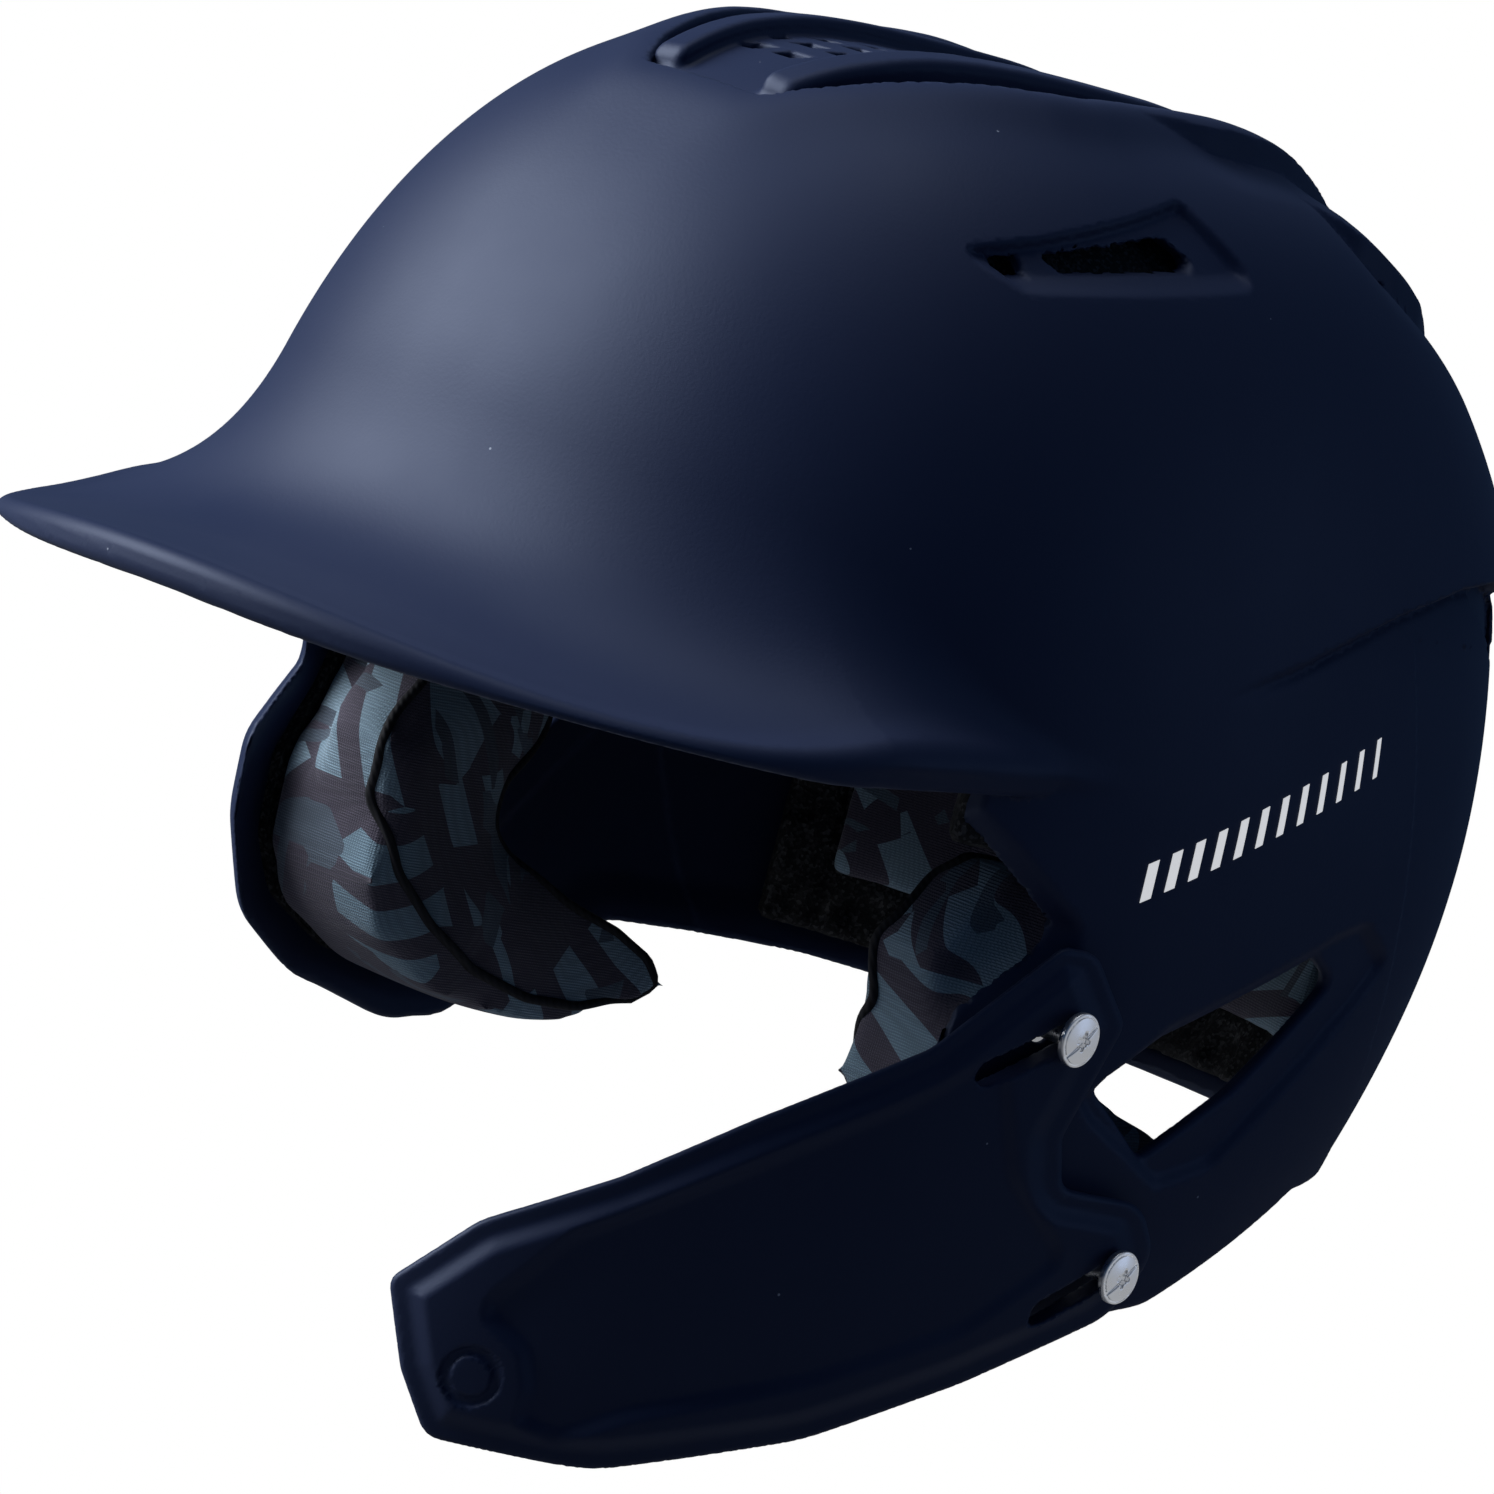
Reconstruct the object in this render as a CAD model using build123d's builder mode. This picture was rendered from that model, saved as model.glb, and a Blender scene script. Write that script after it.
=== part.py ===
from build123d import *
import math
import os

os.makedirs("parts", exist_ok=True)

# Batting helmet with a jaw guard on the wearer's left side.
# Frame: +Z up, -Y towards the brim, +X towards the wearer's left; origin in the
# plane of the widest ring, where the head sits.  Sizes are in millimetres.

# ---- driving dimensions -------------------------------------------------
half_width = 98.0
front_reach = 133.0
rear_reach = 118.0
crown_height = 116.0
crown_shift = 4.0
plan_power = 2.4
side_taper = 0.0012
rear_taper = 0.0045
skirt_depth = 100.0

wall = 3.0
liner_gap = 0.3
liner_thickness = 8.0
pad_gap = 0.3
pad_thickness = 9.0
ear_pad_thickness = 30.0
ear_pad_wall_layer = 13.0
crown_drop = 3.3
crown_panel = 3.0

brim_length = 190.0
brim_radius = 91.6
brim_thickness = 4.0
brim_arch = 6.5
brim_fall = 0.07
brim_back = 60.0
brim_root_height = 9.0

guard_clearance = 0.5
guard_half_width = 98.8
guard_reach = 140.0
guard_taper = 0.0008
guard_thickness = 4.0
guard_pad_thickness = 8.0
slide_travel = 16.0
slide_across = 0.08
slide_back = 0.836
slide_up = 0.543

screw_radius = 1.9
screw_head_radius = 4.8
screw_head_height = 2.2
nut_barrel_radius = 3.0
nut_flange_radius = 7.5
slot_clearance = 0.3
head_lift = 1.2
thread_clearance = 0.05

upper_screw = (-47.0, -37.0)
lower_screw = (-15.0, -77.5)


# ---- the shared head form -----------------------------------------------
def head_section(height, inset):
    """Half width, front reach, rear reach and centre shift of one level."""
    top = crown_height - inset
    if height > 0:
        t = min(height / top, 1.0)
        across = (half_width - inset) * (1 - t**1.8) ** (1 / 3.0)
        ahead = (front_reach - inset) * (1 - t**2.0) ** 0.25
        behind = (rear_reach - inset) * (1 - t**2.2) ** (1 / 2.15)
        return across, ahead, behind, crown_shift * t**2
    across = half_width - inset - side_taper * height**2
    behind = rear_reach - inset - rear_taper * height**2
    return across, front_reach - inset, behind, 0.0


def guard_section(height, inset):
    across = guard_half_width - inset - guard_taper * height**2
    return across, guard_reach - inset, rear_reach + 4, 0.0


def oval_points(section, count=32):
    """Points of a superellipse whose front and rear halves differ."""
    across, ahead, behind, shift = section
    points = []
    for step in range(count):
        angle = 2 * math.pi * step / count
        c, s = math.cos(angle), math.sin(angle)
        x = across * math.copysign(abs(c) ** (2 / plan_power), c)
        reach = behind if s > 0 else ahead
        points.append((x, shift + reach * math.copysign(abs(s) ** (2 / plan_power), s)))
    return points


def form_levels(inset):
    skirt = [-skirt_depth + 25.0 * step for step in range(4)]
    rise = [math.sin(math.radians(9.5 * step)) for step in range(10)]
    return skirt + [(crown_height - inset) * share for share in rise]


def lofted(levels, section_at, inset):
    with BuildPart() as form:
        for level in levels:
            with BuildSketch(Plane.XY.offset(level)):
                with BuildLine():
                    Spline(*oval_points(section_at(level, inset)), periodic=True)
                make_face()
        loft()
    return form.part


def head_form(inset):
    return lofted(form_levels(inset), head_section, inset)


def guard_form(inset):
    return lofted([-145, -115, -85, -55, -25, 0], guard_section, inset)


def screw_seat(screw):
    """X of the guard's outer face at a screw."""
    across, ahead, behind, shift = guard_section(screw[1], -guard_thickness)
    return across * (1 - (abs(screw[0]) / ahead) ** plan_power) ** (1 / plan_power)


def shell_seat(screw, inset):
    """X of the shell at a screw, inset from its outer face."""
    across, ahead, behind, shift = head_section(screw[1], inset)
    return across * (1 - (abs(screw[0]) / ahead) ** plan_power) ** (1 / plan_power)


outer_form = head_form(0)
inner_form = head_form(wall)
liner_outer = head_form(wall + liner_gap)
liner_inner = head_form(wall + liner_gap + liner_thickness)
pad_outer = head_form(wall + liner_gap + liner_thickness + pad_gap)
pad_inner = head_form(wall + liner_gap + liner_thickness + pad_gap + pad_thickness)
ear_pad_inner = head_form(wall + liner_gap + ear_pad_thickness)
ear_pad_middle = head_form(wall + liner_gap + ear_pad_wall_layer)

# ---- outlines in the side view (Y, Z) ------------------------------------
rim_outline = [
    (-74, -4), (-50, -20.5), (-46, -24), (-59, -38), (-59, -52), (-50, -70),
    (-30, -81), (-5, -87), (10, -85), (49, -62), (80, -59), (140, -58),
]
rim_rounding = [6, 2, 2, 8, 14, 14, 20, 20, 20, 20, 20]
ear_hole = [(-29, -46), (-15, -36), (21, -18), (30, -22), (10, -44), (-8, -58)]
ear_hole_rounding = [2.5, 6, 3, 3, 6, 3]
vent_small = [(-75, 84.5), (-68, 86.5), (-68, 83.5), (-72, 82.5)]
vent_large = [(-64, 87.5), (-34, 95.5), (-28, 93), (-30, 91), (-60, 85.5)]
crown_opening = [(-21, -92), (21, -92), (31, -66), (37, -35), (38, 5), (33, 40),
                 (16, 72), (-16, 72), (-33, 40), (-38, 5), (-37, -35), (-31, -66)]

# the plane that looks squarely at the guard, from ahead and to the left
guard_plane = Plane(origin=(0, 0, 0), x_dir=(0.7786, 0.6276, 0), z_dir=(0.6276, -0.7786, 0))
guard_outline = [
    (-51, -104), (-39, -90), (-19, -77), (0, -62), (25, -44), (42, -22.5), (48, -22.5),
    (56.5, -34), (51.5, -55), (54, -64), (69, -65), (74, -74), (69, -86),
    (47, -101), (23, -115), (-10, -127), (-38, -128), (-45, -118),
]
guard_rounding = [3, 14, 14, 10, 10, 3, 5, 4, 3, 3, 7, 8, 12, 40, 40, 30, 5, 8]


# ---- shell ----------------------------------------------------------------
brim_plane = Plane(
    origin=(0, -brim_back, brim_root_height),
    x_dir=(1, 0, 0),
    z_dir=(0, -1, -brim_fall),
)
with BuildPart() as brim:
    with BuildSketch(brim_plane):
        with BuildLine():
            crest = ThreePointArc((-100, -brim_arch), (0, 4), (100, -brim_arch))
            low = ThreePointArc((-100, -brim_arch - brim_thickness), (0, 4 - brim_thickness),
                                (100, -brim_arch - brim_thickness))
            Line(crest @ 0, low @ 0)
            Line(crest @ 1, low @ 1)
        make_face()
    extrude(amount=brim_length)
    with BuildSketch(Plane.XY.offset(-60)):
        with Locations((0, brim_radius - brim_length)):
            Circle(brim_radius)
        with Locations((0, -brim_back - 20)):
            Rectangle(2 * brim_radius, 40)
    extrude(amount=120, mode=Mode.INTERSECT)

with BuildPart() as shell:
    add(outer_form)
    with BuildSketch(Plane.YZ):
        with BuildLine():
            rim = FilletPolyline(*[(-230, -4), *rim_outline], radius=rim_rounding)
            Polyline(rim @ 1, (140, -140), (-230, -140), rim @ 0)
        make_face()
    extrude(amount=160, both=True, mode=Mode.SUBTRACT)
    with BuildSketch(brim_plane):
        with BuildLine():
            roof = ThreePointArc((-110, -brim_arch - 4), (0, 2), (110, -brim_arch - 4))
            Polyline(roof @ 1, (110, -90), (-110, -90), roof @ 0)
        make_face()
    extrude(amount=brim_length, mode=Mode.SUBTRACT)
    add(brim.part)
    add(inner_form, mode=Mode.SUBTRACT)
    with BuildSketch(Plane.YZ):
        with BuildLine():
            FilletPolyline(*ear_hole, radius=ear_hole_rounding, close=True)
        make_face()
        for outline in (vent_small, vent_large):
            with BuildLine():
                FilletPolyline(*outline, radius=1.0, close=True)
            make_face()
    extrude(amount=160, both=True, mode=Mode.SUBTRACT)
    with BuildSketch(Plane.XY.offset(60)):
        with BuildLine():
            FilletPolyline(*crown_opening, radius=8.0, close=True)
        make_face()
    extrude(amount=80, mode=Mode.SUBTRACT)
    for screw in (upper_screw, lower_screw):
        with BuildSketch(Plane.YZ):
            with Locations(screw):
                Circle(nut_barrel_radius + thread_clearance)
        extrude(amount=140, mode=Mode.SUBTRACT)
shell.part.label = "shell"
export_step(shell.part, "parts/shell.step")

# ---- crown grille: a panel under the crown opening, with two raised ribs ---
grille_outer = head_form(crown_drop)
grille_inner = head_form(crown_drop + crown_panel)
rib_outer = head_form(0.4)
hole_pitch = 8.0
hole_size = 4.2
with BuildPart() as crown_grille:
    add(grille_outer)
    add(grille_inner, mode=Mode.SUBTRACT)
    with BuildSketch(Plane.XY.offset(60)):
        with BuildLine():
            FilletPolyline(*crown_opening, radius=8.0, close=True)
        make_face()
        offset(amount=5.0)
    extrude(amount=80, mode=Mode.INTERSECT)
    with BuildSketch(Plane.XY.offset(60)):
        for row in range(12):
            aside = hole_pitch / 2 if row % 2 else 0
            with Locations((aside - hole_pitch / 4, -62 + row * hole_pitch * 1.1)):
                with GridLocations(hole_pitch, hole_pitch, 2, 1):
                    Rectangle(hole_size, hole_size * 0.8)
    extrude(amount=80, mode=Mode.SUBTRACT)
with BuildPart() as ribs:
    add(rib_outer)
    add(grille_outer, mode=Mode.SUBTRACT)
    with BuildSketch(Plane.XY.offset(60)):
        with BuildLine():
            Spline((11, -86), (17, -50), (19, 0), (14, 62))
            Polyline((14, 62), (20, 62))
            Spline((20, 62), (26, 0), (24, -50), (18, -86))
            Polyline((18, -86), (11, -86))
        make_face()
        mirror(about=Plane.YZ)
    extrude(amount=80, mode=Mode.INTERSECT)
with BuildPart() as grille_whole:
    add(crown_grille.part)
    add(ribs.part)
grille_whole.part.label = "crown_grille"
export_step(grille_whole.part, "parts/crown_grille.step")


# ---- foam liner and comfort pads -------------------------------------------
def sector(start, end, reach=200.0):
    """Plan outline of a wedge about the origin, between two compass angles."""
    middle = (start + end) / 2
    corners = [(0, 0)]
    for angle in (start, middle, end):
        corners.append((reach * math.cos(math.radians(angle)), reach * math.sin(math.radians(angle))))
    return corners


def lining(outer, inner, outline, low, high):
    """The layer between two head forms, inside a plan outline and two heights."""
    with BuildPart() as layer:
        add(outer)
        add(inner, mode=Mode.SUBTRACT)
        with BuildSketch(Plane.XY.offset(low)):
            with BuildLine():
                Polyline(*outline, close=True)
            make_face()
        extrude(amount=high - low, mode=Mode.INTERSECT)
    return layer.part


half_gap = 0.9
front_wedge = sector(-138 + half_gap, -42 - half_gap)
left_wedge = sector(-42 + half_gap, 46 - half_gap)
right_wedge = sector(134 + half_gap, 222 - half_gap)
rear_wedge = sector(46 + half_gap, 134 - half_gap)
liner_top = 76.0
pieces = {
    "front_liner": lining(liner_outer, liner_inner, front_wedge, 9, liner_top),
    "left_liner": lining(liner_outer, liner_inner, left_wedge, -10, liner_top),
    "right_liner": lining(liner_outer, liner_inner, right_wedge, -10, liner_top),
    "rear_liner": lining(liner_outer, liner_inner, rear_wedge, -54, liner_top),
    "brow_pad": lining(pad_outer, pad_inner, sector(-128, -52), 12, 48),
    "left_temple_pad": lining(pad_outer, pad_inner, sector(-36, 12), -6, 34),
    "right_temple_pad": lining(pad_outer, pad_inner, sector(168, 216), -6, 34),
    "rear_pad": lining(pad_outer, pad_inner, sector(52, 128), -44, 24),
}

crown_liner_outer = head_form(crown_drop + crown_panel + liner_gap)
crown_liner_inner = head_form(crown_drop + crown_panel + liner_gap + liner_thickness)
crown_pad_outer = head_form(crown_drop + crown_panel + 2 * liner_gap + liner_thickness)
crown_pad_inner = head_form(crown_drop + crown_panel + 2 * liner_gap + liner_thickness + pad_thickness)
crown_square = [(-70, -100), (70, -100), (70, 90), (-70, 90)]
pieces["crown_liner"] = lining(
    crown_liner_outer, crown_liner_inner, crown_square, liner_top + 2 * half_gap, 120
)
with BuildPart() as crown_pad:
    add(crown_pad_outer)
    add(crown_pad_inner, mode=Mode.SUBTRACT)
    with BuildSketch(Plane.XY.offset(40)):
        SlotOverall(96, 44, rotation=90)
    extrude(amount=90, mode=Mode.INTERSECT)
pieces["crown_pad"] = crown_pad.part

# cheek pads, C-shaped round the ear, and the thin foam backs that hold them
ear_pad_outline = [
    (-40, -13), (-46, -27), (-54, -40), (-54, -56), (-46, -68), (-27, -77), (4, -81),
    (20, -78), (22, -68), (2, -68), (-18, -64), (-32, -54), (-33, -42), (-22, -32), (-22, -13),
]
ear_pad_rounding = [5, 10, 8, 10, 10, 14, 8, 4, 4, 10, 10, 6, 6, 8, 6]
# the cushion's face, wider than the layer that rests on the wall
cheek_face_outline = [
    (-45, -13), (-52, -22), (-58, -31), (-55, -43), (-48, -55), (-35, -64), (-17, -72),
    (0, -76), (15, -76.5), (32, -73), (36, -68), (32, -62), (24, -58), (9, -54),
    (-7, -47.5), (-14, -43), (-14, -36), (-5, -27), (-2, -13),
]
cheek_face_rounding = [5, 12, 8, 12, 12, 20, 20, 20, 20, 4, 3, 5, 10, 12, 6, 3, 3, 8, 6]
backing_thickness = 2.0
nut_pocket_floor = 83.5
backing_inner = head_form(wall + liner_gap + backing_thickness)
for side, reach in (("left", 140), ("right", -140)):
    for layer, outer, inner, shrink in (
        ("ear_pad", head_form(wall + 2 * liner_gap + backing_thickness), ear_pad_inner, 0.0),
        ("ear_pad_backing", liner_outer, backing_inner, -2.0),
    ):
        with BuildPart() as cheek:
            add(outer)
            add(inner, mode=Mode.SUBTRACT)
            with BuildSketch(Plane.YZ):
                with BuildLine():
                    FilletPolyline(*ear_pad_outline, radius=ear_pad_rounding, close=True)
                make_face()
                if shrink:
                    offset(amount=shrink)
            extrude(amount=reach, mode=Mode.INTERSECT)
            if side == "left":
                with BuildSketch(Plane.YZ.offset(nut_pocket_floor)):
                    with Locations(upper_screw, lower_screw):
                        Circle(nut_flange_radius + 0.6)
                extrude(amount=60, mode=Mode.SUBTRACT)
        if layer == "ear_pad":
            with BuildPart() as face:
                add(ear_pad_middle)
                add(inner, mode=Mode.SUBTRACT)
                with BuildSketch(Plane.YZ):
                    with BuildLine():
                        FilletPolyline(*cheek_face_outline, radius=cheek_face_rounding, close=True)
                    make_face()
                extrude(amount=reach, mode=Mode.INTERSECT)
            with BuildPart() as cushion:
                add(cheek.part)
                add(face.part)
            pieces[f"{side}_{layer}"] = cushion.part
        else:
            pieces[f"{side}_{layer}"] = cheek.part

for name, solid in pieces.items():
    solid.label = name
    export_step(solid, f"parts/{name}.step")

# ---- jaw guard --------------------------------------------------------------
guard_outer = guard_form(-guard_thickness)
guard_inner = guard_form(0)
travel = Location((-slide_across * slide_travel, -slide_back * slide_travel, -slide_up * slide_travel))
half_travel = Location(
    (-slide_across * slide_travel / 2, -slide_back * slide_travel / 2, -slide_up * slide_travel / 2)
)
relief = head_form(-guard_clearance)
slot_width = 2 * (screw_radius + slot_clearance)
slot_angle = math.degrees(math.atan2(slide_up, slide_back))
with BuildPart() as jaw_guard:
    add(guard_outer)
    add(guard_inner, mode=Mode.SUBTRACT)
    with BuildSketch(guard_plane):
        with BuildLine():
            FilletPolyline(*guard_outline, radius=guard_rounding, close=True)
        make_face()
    extrude(amount=220, mode=Mode.INTERSECT)
    add(relief, mode=Mode.SUBTRACT)
    add(relief.moved(half_travel), mode=Mode.SUBTRACT)
    add(relief.moved(travel), mode=Mode.SUBTRACT)
    for screw in (upper_screw, lower_screw):
        middle = (
            screw[0] - slide_back * slide_travel / 2,
            screw[1] - slide_up * slide_travel / 2,
        )
        with BuildSketch(Plane.YZ.offset(60)):
            with Locations(middle):
                SlotCenterToCenter(slide_travel, slot_width, rotation=slot_angle)
        extrude(amount=80, mode=Mode.SUBTRACT)
jaw_guard.part.label = "jaw_guard"
export_step(jaw_guard.part, "parts/jaw_guard.step")

guard_pad_outline = [(-47, -106), (-40, -94), (-25, -83), (-12, -80), (-12, -112), (-36, -122)]
with BuildPart() as jaw_guard_pad:
    add(guard_form(liner_gap))
    add(guard_form(liner_gap + guard_pad_thickness), mode=Mode.SUBTRACT)
    with BuildSketch(guard_plane):
        with BuildLine():
            FilletPolyline(*guard_pad_outline, radius=4.0, close=True)
        make_face()
    extrude(amount=220, mode=Mode.INTERSECT)
jaw_guard_pad.part.label = "jaw_guard_pad"
export_step(jaw_guard_pad.part, "parts/jaw_guard_pad.step")

# ---- screws and the nuts behind the flap --------------------------------------
for place, screw in (("upper", upper_screw), ("lower", lower_screw)):
    seat = screw_seat(screw) + head_lift
    inside = shell_seat(screw, wall) - 1.2
    with BuildPart() as guard_screw:
        with BuildSketch(Plane.YZ.offset(seat)):
            with Locations(screw):
                Circle(screw_head_radius)
        extrude(amount=screw_head_height)
        fillet(guard_screw.faces().sort_by(Axis.X)[-1].edges(), radius=1.2)
        with BuildSketch(Plane.YZ.offset(inside)):
            with Locations(screw):
                Circle(screw_radius)
        extrude(amount=seat - inside)
        with BuildSketch(Plane.YZ.offset(seat + screw_head_height)):
            with Locations(screw):
                Rectangle(6.4, 1.0)
                Rectangle(1.0, 6.4)
        extrude(amount=-1.0, mode=Mode.SUBTRACT)
    guard_screw.part.label = f"guard_screw_{place}"
    export_step(guard_screw.part, f"parts/guard_screw_{place}.step")

    with BuildPart() as guard_nut:
        with BuildSketch(Plane.YZ.offset(inside - 1.0)):
            with Locations(screw):
                Circle(nut_flange_radius)
        extrude(amount=1.2)
        with BuildSketch(Plane.YZ.offset(inside)):
            with Locations(screw):
                Circle(nut_barrel_radius)
        extrude(amount=3.4)
        with BuildSketch(Plane.YZ.offset(inside - 2)):
            with Locations(screw):
                Circle(screw_radius + thread_clearance)
        extrude(amount=10, mode=Mode.SUBTRACT)
    guard_nut.part.label = f"guard_nut_{place}"
    export_step(guard_nut.part, f"parts/guard_nut_{place}.step")
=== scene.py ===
import math

import bmesh
import bpy
import numpy as np
from mathutils import Matrix, Vector


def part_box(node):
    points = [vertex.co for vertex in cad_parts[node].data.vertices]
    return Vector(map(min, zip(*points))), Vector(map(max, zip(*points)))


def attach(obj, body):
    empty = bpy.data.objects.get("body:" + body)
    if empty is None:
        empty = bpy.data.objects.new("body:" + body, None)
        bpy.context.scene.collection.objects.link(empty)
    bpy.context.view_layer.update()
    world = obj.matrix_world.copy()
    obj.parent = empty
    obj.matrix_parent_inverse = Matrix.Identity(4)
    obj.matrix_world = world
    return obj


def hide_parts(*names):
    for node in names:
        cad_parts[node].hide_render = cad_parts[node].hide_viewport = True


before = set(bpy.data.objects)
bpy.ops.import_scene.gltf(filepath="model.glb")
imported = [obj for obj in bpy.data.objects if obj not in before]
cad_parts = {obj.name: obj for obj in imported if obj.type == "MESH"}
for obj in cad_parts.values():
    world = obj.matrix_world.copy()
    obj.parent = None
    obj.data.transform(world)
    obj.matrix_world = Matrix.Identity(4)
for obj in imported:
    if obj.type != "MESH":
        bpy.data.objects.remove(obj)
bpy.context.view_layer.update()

# Lengths are in millimetres while a shape is worked out, and in metres once it is a mesh.
MM = 0.001

# The head form: the same superelliptic dome that the CAD shell is made from.
HALF_WIDTH, FRONT, REAR, CROWN = 98.0, 133.0, 118.0, 116.0
CROWN_SHIFT, PLAN_POWER = 4.0, 2.4
SIDE_TAPER, REAR_TAPER = 0.0012, 0.0045
WALL = 3.0
BRIM_LENGTH, BRIM_RADIUS, BRIM_FALL = 190.0, 91.6, 0.07
BRIM_BACK, BRIM_ROOT = 60.0, 9.0
GUARD_HALF_WIDTH, GUARD_REACH, GUARD_TAPER, GUARD_WALL = 98.8, 140.0, 0.0008, 4.0
UPPER_SCREW, LOWER_SCREW = (-47.0, -37.0), (-15.0, -77.5)
SLIDE = np.array((0.08, 0.836, 0.543))
SLIDE_TRAVEL = 16.0
SLOT_HALF = 2.2


def head_ratio(x, y, z):
    """Under 1 inside the head form, over 1 outside it."""
    t = np.clip(z / CROWN, 0.0, 0.99999)
    low = np.clip(-z, 0.0, 130.0)
    across = HALF_WIDTH * (1 - t**1.8) ** (1 / 3.0) - SIDE_TAPER * low**2
    ahead = FRONT * (1 - t**2) ** 0.25
    behind = REAR * (1 - t**2.2) ** (1 / 2.15) - REAR_TAPER * low**2
    y = y - CROWN_SHIFT * t**2
    reach = np.where(y > 0, behind, ahead)
    ratio = (np.abs(x) / across) ** PLAN_POWER + (np.abs(y) / reach) ** PLAN_POWER
    return np.where((z >= CROWN) | (z < -135), 9.0, ratio)


class RadialForm:
    """Distance to the head form, from a table of its radius in every direction."""

    def __init__(self, columns=960, rows=420, lowest=-72.0):
        self.columns, self.rows, self.lowest = columns, rows, math.radians(lowest)
        theta = np.linspace(0, 2 * math.pi, columns + 1)
        phi = np.linspace(self.lowest, math.pi / 2, rows)
        turn, rise = np.meshgrid(theta, phi)
        dx, dy, dz = np.cos(rise) * np.cos(turn), np.cos(rise) * np.sin(turn), np.sin(rise)
        low, high = np.full(turn.shape, 15.0), np.full(turn.shape, 230.0)
        for _ in range(30):
            middle = (low + high) / 2
            outside = head_ratio(dx * middle, dy * middle, dz * middle) > 1
            high = np.where(outside, middle, high)
            low = np.where(outside, low, middle)
        self.radius = (low + high) / 2
        across = np.gradient(self.radius, theta, axis=1) / np.maximum(np.cos(rise), 0.02)
        along = np.gradient(self.radius, phi, axis=0)
        self.tilt = self.radius / np.sqrt(self.radius**2 + across**2 + along**2)

    def __call__(self, x, y, z):
        flat = np.hypot(x, y)
        u = (np.arctan2(y, x) % (2 * math.pi)) / (2 * math.pi) * self.columns
        v = (np.arctan2(z, flat) - self.lowest) / (math.pi / 2 - self.lowest) * (self.rows - 1)
        v = np.clip(v, 0, self.rows - 1.001)
        i, j = np.minimum(u.astype(int), self.columns - 1), v.astype(int)
        u, v = u - i, v - j
        out = []
        for table in (self.radius, self.tilt):
            first = table[j, i] * (1 - u) + table[j, i + 1] * u
            second = table[j + 1, i] * (1 - u) + table[j + 1, i + 1] * u
            out.append(first * (1 - v) + second * v)
        return (np.sqrt(flat**2 + z**2) - out[0]) * out[1]


head_distance = RadialForm()


def guard_distance(x, y, z):
    """Distance to the jaw guard's inner form, a superelliptic wall."""
    across = GUARD_HALF_WIDTH - GUARD_TAPER * z**2
    u, v = np.maximum(np.abs(x) / across, 1e-4), np.maximum(np.abs(y) / GUARD_REACH, 1e-4)
    ratio = (u**PLAN_POWER + v**PLAN_POWER) ** (1 / PLAN_POWER)
    gu = ratio ** (1 - PLAN_POWER) * u ** (PLAN_POWER - 1) / across
    gv = ratio ** (1 - PLAN_POWER) * v ** (PLAN_POWER - 1) / GUARD_REACH
    return (ratio - 1) / np.sqrt(gu**2 + gv**2)


# Distance helpers.
def soft_min(a, b, k):
    """Union whose join is filled over a width of k."""
    h = np.maximum(k - np.abs(a - b), 0.0) / np.maximum(k, 1e-6)
    return np.minimum(a, b) - h * h * k / 4


def round_max(a, b, r):
    """Intersection whose edge is rounded to radius r."""
    return np.minimum(-r, np.maximum(a, b)) + np.hypot(np.maximum(r + a, 0), np.maximum(r + b, 0))


def ease(low, high, value):
    """Rises smoothly from 0 at low to 1 at high."""
    t = np.clip((value - low) / (high - low), 0, 1)
    return t * t * (3 - 2 * t)


def rounded_outline(points, radii, steps=6):
    """A closed polygon with its corners replaced by arcs."""
    out, n = [], len(points)
    for i, (p, r) in enumerate(zip(points, radii)):
        p = np.array(p, float)
        a, b = np.array(points[i - 1], float) - p, np.array(points[(i + 1) % n], float) - p
        la, lb = np.linalg.norm(a), np.linalg.norm(b)
        a, b = a / la, b / lb
        half = math.acos(max(-1.0, min(1.0, float(a @ b)))) / 2
        cut = min(r / math.tan(half), 0.48 * la, 0.48 * lb) if r > 0 else 0.0
        if cut < 1e-3:
            out.append(p)
            continue
        start, end = p + a * cut, p + b * cut
        for k in range(steps + 1):
            t = k / steps
            out.append((1 - t) ** 2 * start + 2 * t * (1 - t) * p + t * t * end)
    return np.array(out)


class Outline:
    """Signed distance to a rounded outline in a plane, kept as a table."""

    def __init__(self, points, radii, step=0.5, margin=24.0):
        if np.isscalar(radii):
            radii = [radii] * len(points)
        line = rounded_outline(points, radii)
        self.step, self.low = step, line.min(0) - margin
        count = np.ceil((line.max(0) + margin - self.low) / step).astype(int) + 1
        u = self.low[0] + step * np.arange(count[0])
        v = self.low[1] + step * np.arange(count[1])
        pu, pv = np.meshgrid(u, v, indexing="ij")
        best, inside = np.full(pu.shape, 1e9), np.zeros(pu.shape, bool)
        for a, b in zip(line, np.roll(line, -1, axis=0)):
            e = b - a
            length = e @ e
            if length < 1e-12:
                continue
            t = np.clip(((pu - a[0]) * e[0] + (pv - a[1]) * e[1]) / length, 0, 1)
            best = np.minimum(best, (pu - a[0] - t * e[0]) ** 2 + (pv - a[1] - t * e[1]) ** 2)
            if a[1] != b[1]:
                crosses = (a[1] > pv) != (b[1] > pv)
                inside ^= crosses & (pu < a[0] + (pv - a[1]) / e[1] * e[0])
        self.table = np.where(inside, -1, 1) * np.sqrt(best)
        self.count = count

    def __call__(self, u, v):
        u = np.clip((u - self.low[0]) / self.step, 0, self.count[0] - 1.001)
        v = np.clip((v - self.low[1]) / self.step, 0, self.count[1] - 1.001)
        i, j = u.astype(int), v.astype(int)
        u, v, t = u - i, v - j, self.table
        return (t[i, j] * (1 - u) + t[i + 1, j] * u) * (1 - v) + (
            t[i, j + 1] * (1 - u) + t[i + 1, j + 1] * u
        ) * v


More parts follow.
